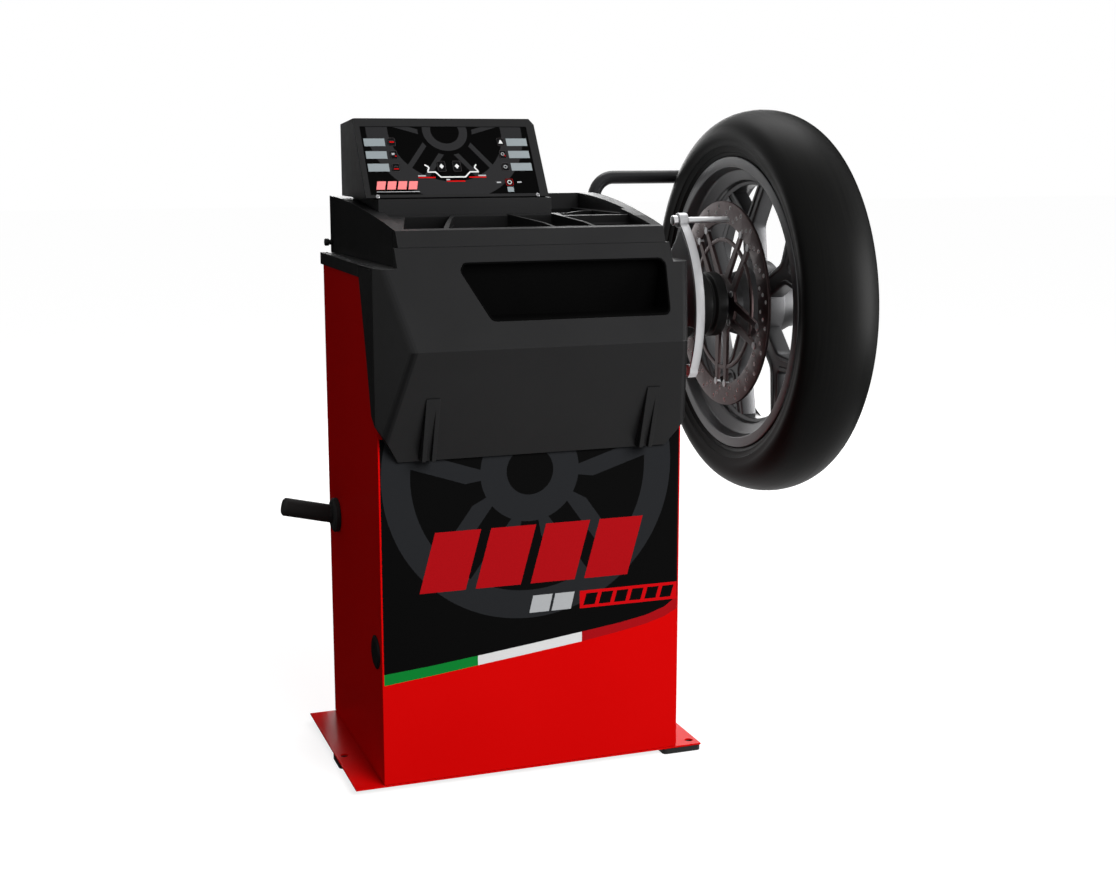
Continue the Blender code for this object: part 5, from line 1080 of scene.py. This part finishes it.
# Each hole's edge ring takes the pale matt finish, a painted highlight that makes the holes read as light
# dots.
edge_line = [(DISC_LEFT - 0.00004, 0.0023), (DISC_LEFT - 0.00004, 0.0034), (DISC_LEFT + 0.0001, 0.0031),
             (DISC_LEFT + 0.0020, 0.0029), (DISC_LEFT + 0.0020, 0.0023)]
studs(edge_line, holes, cut_edge_painted_highlight, "disc_hole_edges", "wheel", wheel_middle, 12, closed=True)
ring_line = box_outline(DISC_LEFT + 0.0005, DISC_LEFT + 0.0042, 0.0970, 0.1030)
lattice_ring = turned(ring_line, wheel_middle, 96, closed=True)
done("carrier_ring", ease_edges(lattice_ring, 0.0005, 2, 60), disc_steel, "wheel")

bobbin = [(DISC_LEFT - 0.0010, 0.0), (DISC_LEFT - 0.0010, 0.0050), (DISC_LEFT - 0.0004, 0.0058),
          (DISC_RIGHT + 0.0004, 0.0058), (DISC_RIGHT + 0.0010, 0.0050), (DISC_RIGHT + 0.0010, 0.0)]
bobbin_angles = [180 - (36 * index + (11 if index % 2 else -11)) for index in range(10)]
studs(bobbin, on_circle(0.1262, bobbin_angles), screw_steel, "disc_bobbins", "wheel", wheel_middle)
bolt = [(DISC_LEFT - 0.0022, 0.0), (DISC_LEFT - 0.0022, 0.0020), (DISC_LEFT - 0.0022, 0.0035),
        (DISC_LEFT - 0.0012, 0.0050), (DISC_LEFT + 0.0002, 0.0052), (DISC_LEFT + 0.0002, 0.0)]
studs(bolt, on_circle(0.0385, range(9, 369, 72)), screw_steel, "disc_bolts", "wheel", wheel_middle)

VALVE_ANGLE = 117
valve = spun([(0.0, 0.0, 0), (0.0, 0.0045, 0.001), (0.010, 0.0045, 0.001), (0.012, 0.0030, 0.001),
              (0.030, 0.0030, 0.001), (0.030, 0.0, 0)], Vector(), 16)
for turn, line in ((90, "Z"), (180 + VALVE_ANGLE, "X")):
    bmesh.ops.rotate(valve, verts=valve.verts, cent=(0, 0, 0),
                     matrix=Matrix.Rotation(math.radians(turn), 3, line))
valve_back, valve_up = on_circle(0.1945, [VALVE_ANGLE])[0]
bmesh.ops.translate(valve, verts=valve.verts, vec=wheel_middle + Vector((0.020, valve_back, valve_up)))
done("valve_stem", valve, black_hub, "wheel")

# %% [markdown]
# ## Shaft, cones and nut
# Turned parts are drawn as half a section, with a small radius at each corner, and spun. The inner
# cone has three ribs that give a hand some grip, and the quick nut four lobes.

# %% Shaft and housing
shaft_line = [(-0.284, 0.0, 0), (-0.284, 0.010, 0.001), (-0.246, 0.010, 0), (-0.246, 0.015, 0.0005),
              (0.0165, 0.015, 0), (0.0165, 0.042, 0.0010), (0.0225, 0.042, 0.0010), (0.0225, 0.020, 0),
              (0.0335, 0.020, 0.0010), (0.0335, 0.0095, 0.0005), (0.342, 0.0095, 0.0010),
              (0.345, 0.0065, 0.0008), (0.345, 0.0, 0)]
lathe("spindle_shaft_turned", shaft_line, axle, 96, turned_steel, "spindle", "spindle_shaft")
housing_line = [(-0.235, 0.031, 0.0005), (-0.235, 0.040, 0.0010), (0.004, 0.040, 0.0010),
                (0.004, 0.046, 0.0008), (0.014, 0.046, 0.0012), (0.014, 0.031, 0.0006)]
lathe("spindle_housing_turned", housing_line, axle, 96, grey_steel, "cabinet", "spindle_housing", closed=True)

# %% Cones and quick nut
NECK = 0.043
cone_line = [(0.0294, 0.0203, 0.0), (0.0294, NECK, 0.001)]
for low, high, radius in ((0.0460, 0.0820, 0.0525), (0.0890, 0.1080, 0.0513), (0.1140, 0.1345, 0.0501)):
    cone_line += [(low, NECK, 0.0010), (low + 0.002, radius, 0.0018), (high - 0.002, radius, 0.0018),
                  (high, NECK, 0.0010)]
cone_line += [(0.1345, 0.0234, 0.001), (0.1550, 0.0114, 0.0006), (0.1550, 0.0099, 0.0), (0.0338, 0.0099, 0.0),
              (0.0338, 0.0203, 0.0)]
lathe("inner_cone_ribbed", cone_line, axle, 120, black_hub, "spindle", "inner_cone", closed=True)
outer_line = [(0.2595, 0.0099, 0.0), (0.2595, 0.0114, 0.0005), (0.2850, 0.0259, 0.0005),
              (0.2850, 0.0320, 0.0012), (0.3000, 0.0320, 0.0012), (0.3000, 0.0099, 0.0)]
lathe("outer_cone_turned", outer_line, axle, 96, turned_steel, "clamp", "outer_cone", closed=True)
core_line = [(0.3003, 0.0099, 0.0), (0.3003, 0.022, 0.001), (0.338, 0.022, 0.0015), (0.338, 0.0099, 0.0)]
nut_core = spun(core_line, axle, 48, closed=True)
grip_line = []
for index in range(64):
    angle = FULL_TURN * index / 64
    radius = 0.026 + 0.008 * (1 + math.cos(4 * angle)) / 2
    grip_line.append((radius * math.cos(angle), radius * math.sin(angle)))
grip = slab(bmesh.new(), grip_line, axle_plane, 0.3018, 0.3310)
bmesh.ops.recalc_face_normals(grip, faces=grip.faces)
ease_edges(grip, 0.0020, 3, 60)
bore = turned([(0.290, 0.0), (0.290, 0.0099), (0.350, 0.0099), (0.350, 0.0)], axle, 48)
nut_shape = with_modifiers([with_modifiers([nut_core, grip], "UNION"), bore], "DIFFERENCE")
done("quick_nut_lobed", nut_shape, black_plastic, "clamp", ("quick_nut",), solid=False)

# %% [markdown]
# ## Drive arm
# A steel plate on the shaft's flange carries a flat bar, bowed round the disc, whose pin reaches
# between the spokes and makes the wheel turn with the shaft.

# %% Arm, bow and pin
softened("drive_arm_plate", grey_steel, 0.0008)
ARM_FACE = 0.0228
BOW_FACE = ARM_FACE + 0.014
BOW_OUTER = 0.170
BOW_INNER = 0.165
STEPS = 44
PIN_RADIUS = 0.1675
PIN_TURN = 54.6


def front_arc(radius, first, last):
    """Places round the axle on the side that faces the front, from one angle to another."""
    turns = [first + (last - first) * index / STEPS for index in range(STEPS + 1)]
    return [(-back, up) for back, up in on_circle(radius, turns)]


bow_line = front_arc(BOW_OUTER, -33, 53) + front_arc(BOW_INNER, 53, -33)
bow = slab(bmesh.new(), bow_line, axle_plane, ARM_FACE, BOW_FACE)
bmesh.ops.recalc_face_normals(bow, faces=bow.faces)
ease_edges(bow, 0.0008, 2, 45)
eyes = []
for radius, turn, size in ((PIN_RADIUS, PIN_TURN, 0.011), (0.1625, -30, 0.009)):
    back, up = on_circle(radius, [180 - turn])[0]
    eye_line = [(ARM_FACE, 0.0, 0), (ARM_FACE, size, 0.001), (BOW_FACE, size, 0.001), (BOW_FACE, 0.0, 0)]
    eyes.append(spun(eye_line, axle + Vector((0, back, up)), 40))
done("drive_arm_bow_bent", with_modifiers([bow] + eyes, "UNION"), satin_steel, "spindle", ("drive_arm_bow",),
     solid=False)
pin_back, pin_up = on_circle(PIN_RADIUS, [180 - PIN_TURN])[0]
pin_place = axle + Vector((0, pin_back, pin_up))
pin_line = [(0.0145, 0.0, 0), (0.0145, 0.0075, 0.0015), (0.0225, 0.0075, 0.0006), (0.0225, 0.0047, 0),
            (0.105, 0.0047, 0.001), (0.107, 0.0027, 0.001), (0.107, 0.0, 0)]
lathe("drive_pin_turned", pin_line, pin_place, 48, bright_steel, "spindle", "drive_pin")
flange_bolt = [(0.0283, 0.0), (0.0283, 0.0030), (0.0290, 0.0036), (0.0303, 0.0036), (0.0303, 0.0)]
studs(flange_bolt, on_circle(0.031, (30, 120, 210, 300)), screw_steel, "arm_screws", "spindle", axle)

# %% [markdown]
# ## Peg, plug and knob
# The peg on the left is a rubber grip with shallow flutes, on a round collar. The flutes are made
# by drawing in three of every eight of its lines.

# %% Peg, plug and knob
PEG_TILT = math.radians(13)
PEG_LENGTH = 0.0878
FLUTE = 0.965
peg_root = at(0.0, cabinet_depth - 0.058, 0.349)
collar = spun([(-0.0003, 0.0, 0), (-0.0003, 0.0265, 0.0008), (-0.0068, 0.0265, 0.0012),
               (-0.0100, 0.0225, 0.0015), (-0.0100, 0.0, 0)], peg_root, 64)
bar = spun([(-0.005, 0.0, 0), (-0.005, 0.0140, 0), (-0.0150, 0.0140, 0), (-0.0156, 0.0134, 0.0003),
            (-0.0166, 0.0134, 0.0003), (-0.0172, 0.0140, 0), (0.0030 - PEG_LENGTH, 0.0140, 0.002),
            (-PEG_LENGTH, 0.0110, 0.0015), (-PEG_LENGTH, 0.0, 0)], Vector(), 96)
for vert in bar.verts:
    far = math.hypot(vert.co.y, vert.co.z)
    turn = round(math.degrees(math.atan2(vert.co.z, vert.co.y)) / 3.75) % 8
    if far > 0.0125 and turn < 3 and -0.080 < vert.co.x < -0.0175:
        vert.co.y *= FLUTE
        vert.co.z *= FLUTE
bmesh.ops.rotate(bar, verts=bar.verts, cent=(0, 0, 0), matrix=Matrix.Rotation(PEG_TILT, 3, "Y"))
bmesh.ops.translate(bar, verts=bar.verts, vec=peg_root)
done("accessory_peg_fluted", with_modifiers([collar, bar], "UNION"), rubber, "cabinet", ("accessory_peg",),
     solid=False)

plug_line = [(0.006, 0.0, 0), (0.006, 0.020, 0.0008), (-0.0003, 0.020, 0), (-0.0003, 0.0245, 0.0004),
             (-0.0015, 0.0245, 0.0008), (-0.0030, 0.0205, 0.0010), (-0.0026, 0.0150, 0.002),
             (-0.0024, 0.0, 0)]
lathe("side_plug_domed", plug_line, at(0.0, 0.033, 0.201), 64, black_hub, "cabinet", "side_plug")
knob_line = [(0.0, 0.0, 0), (0.0, 0.0040, 0.0005), (-0.0050, 0.0040, 0), (-0.0060, 0.0056, 0.0008),
             (-0.0120, 0.0056, 0.0015), (-0.0120, 0.0, 0)]
tray_low, tray_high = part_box("weight_tray")
knob_place = Vector((tray_low.x, tray_high.y - 0.012, corner.z + 0.766))
lathe("tray_knob", knob_line, knob_place, 32, black_plastic, "cabinet")

# %% [markdown]
# ## Guard tube
# The tube is a ring of edges drawn up, spun through a right angle and drawn out again, which is how
# a pipe bender works. A short barrel at its foot turns on the bracket's pin.

# %% Guard tube
TUBE_RADIUS = 0.011
BEND = 0.034
PIVOT_ACROSS = 0.481
PIVOT_HEIGHT = 0.695
BAR_HEIGHT = 0.8575 - PIVOT_HEIGHT
BAR_REACH = 0.664 - PIVOT_ACROSS
guard_pivot = at(PIVOT_ACROSS, 0.425, PIVOT_HEIGHT)
tube = bmesh.new()
ring = bmesh.ops.create_circle(tube, cap_ends=False, segments=32, radius=TUBE_RADIUS)
ring_edges = list({edge for vert in ring["verts"] for edge in vert.link_edges})
bmesh.ops.translate(tube, verts=ring["verts"], vec=guard_pivot)

ring_edges = drawn_out(tube, ring_edges, UP * (BAR_HEIGHT - BEND))
bent = bmesh.ops.spin(tube, geom=ring_edges + list({v for e in ring_edges for v in e.verts}),
                      cent=guard_pivot + Vector((BEND, 0, BAR_HEIGHT - BEND)), axis=(0, 1, 0),
                      dvec=(0, 0, 0), angle=math.pi / 2, steps=14, use_merge=False, use_duplicate=False)
ring_edges = [part for part in bent["geom_last"] if isinstance(part, bmesh.types.BMEdge)]
ring_edges = drawn_out(tube, ring_edges, RIGHT * (BAR_REACH - BEND))
bmesh.ops.holes_fill(tube, edges=[edge for edge in tube.edges if edge.is_boundary], sides=0)
bmesh.ops.recalc_face_normals(tube, faces=tube.faces)
ease_edges(tube, 0.0015, 2, 60)
barrel_line = [(-0.015, 0.0084, 0.0), (-0.015, 0.016, 0.0010), (0.015, 0.016, 0.0010), (0.015, 0.0084, 0.0)]
guard_barrel = spun(barrel_line, guard_pivot, 48, closed=True)
pin_hole = turned([(-0.02, 0.0), (-0.02, 0.0084), (0.02, 0.0084), (0.02, 0.0)], guard_pivot, 48)
guard_shape = with_modifiers([with_modifiers([tube, guard_barrel], "UNION"), pin_hole], "DIFFERENCE")
done("guard_tube_bent", guard_shape, black_paint, "guard", ("guard_tube",), solid=False)

# %% [markdown]
# ## Screws
# Small screws hold the bezel and the rear panel. Each is one turned head with a sunk cross slot.


# %% Screws
def screw_heads(name, places, plane_out, radius, body, finish):
    """Set low domed heads with a cross slot on a surface that faces along a direction."""
    turn = RIGHT.rotation_difference(plane_out).to_matrix()
    head_line = [(-0.0002, 0.0, 0), (-0.0002, radius, 0), (radius * 0.25, radius, radius * 0.2),
                 (radius * 0.45, radius * 0.6, radius * 0.3), (radius * 0.5, 0.0, 0)]
    heads = []
    for place in places:
        slots = []
        for first, second in ((1.1, 0.22), (0.22, 1.1)):
            slots.append(bmesh.new())
            size = (radius * 0.5, radius * first, radius * second, 1)
            bmesh.ops.create_cube(slots[-1], size=1.0,
                                  matrix=Matrix.Translation((radius * 0.5, 0, 0)) @ Matrix.Diagonal(size))
        head = with_modifiers([spun(head_line, Vector(), 24)] + slots, "DIFFERENCE")
        bmesh.ops.rotate(head, verts=head.verts, cent=(0, 0, 0), matrix=turn)
        bmesh.ops.translate(head, verts=head.verts, vec=place)
        heads.append(head)
    done(name, gathered(heads), finish, body, solid=False)


bezel_places = [display_corner + RIGHT * across + display_plane.up * 0.0040 for across in (0.0169, 0.2570)]
screw_heads("bezel_screws", bezel_places, display_plane.out, 0.0030, "cabinet", screw_steel)
panel_low, panel_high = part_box("rear_panel")
inset = 0.009
panel_places = [Vector((x, panel_high.y, z)) for x in (panel_low.x + inset, panel_high.x - inset)
                for z in (panel_low.z + 0.03, (panel_low.z + panel_high.z) / 2 - 0.08)]
panel_places.append(Vector((panel_low.x + inset, panel_high.y, panel_high.z - 0.03)))
screw_heads("panel_screws", panel_places, BACK, 0.0040, "cabinet", screw_steel)

# %% [markdown]
# ## Inside and underneath
# The parts that the cabinet hides keep their CAD meshes and take a real finish too, so that they
# are right wherever a cover is taken off.

# %% Finishes of the nodes that stay
finishes = (
    (rubber, ["foot_left", "foot_front_right", "foot_rear_right", "drive_belt"]),
    (grey_steel, ["spindle_shelf", "measuring_bracket", "motor_bracket", "spindle_pulley", "motor_pulley"]),
    (turned_steel, ["front_bearing", "rear_bearing", "force_sensor_upright", "force_sensor_level"]),
    (circuit_board, ["display_board", "power_board", "encoder_reader"]),
    (motor_housing, ["drive_motor"]),
    (black_paint, ["encoder_disc"]),
    (panel_film, ["film_panel"]),
    (key_film, [f"key_{key}" for key in keys]),
)
for finish, names in finishes:
    for name in names:
        for place in nodes[name].material_slots:
            place.material = finish.material
finished = {name for _, names in finishes for name in names}
plain = [name for name, node in nodes.items() if not node.hide_render and name not in finished]
print("nodes still plain:", plain)
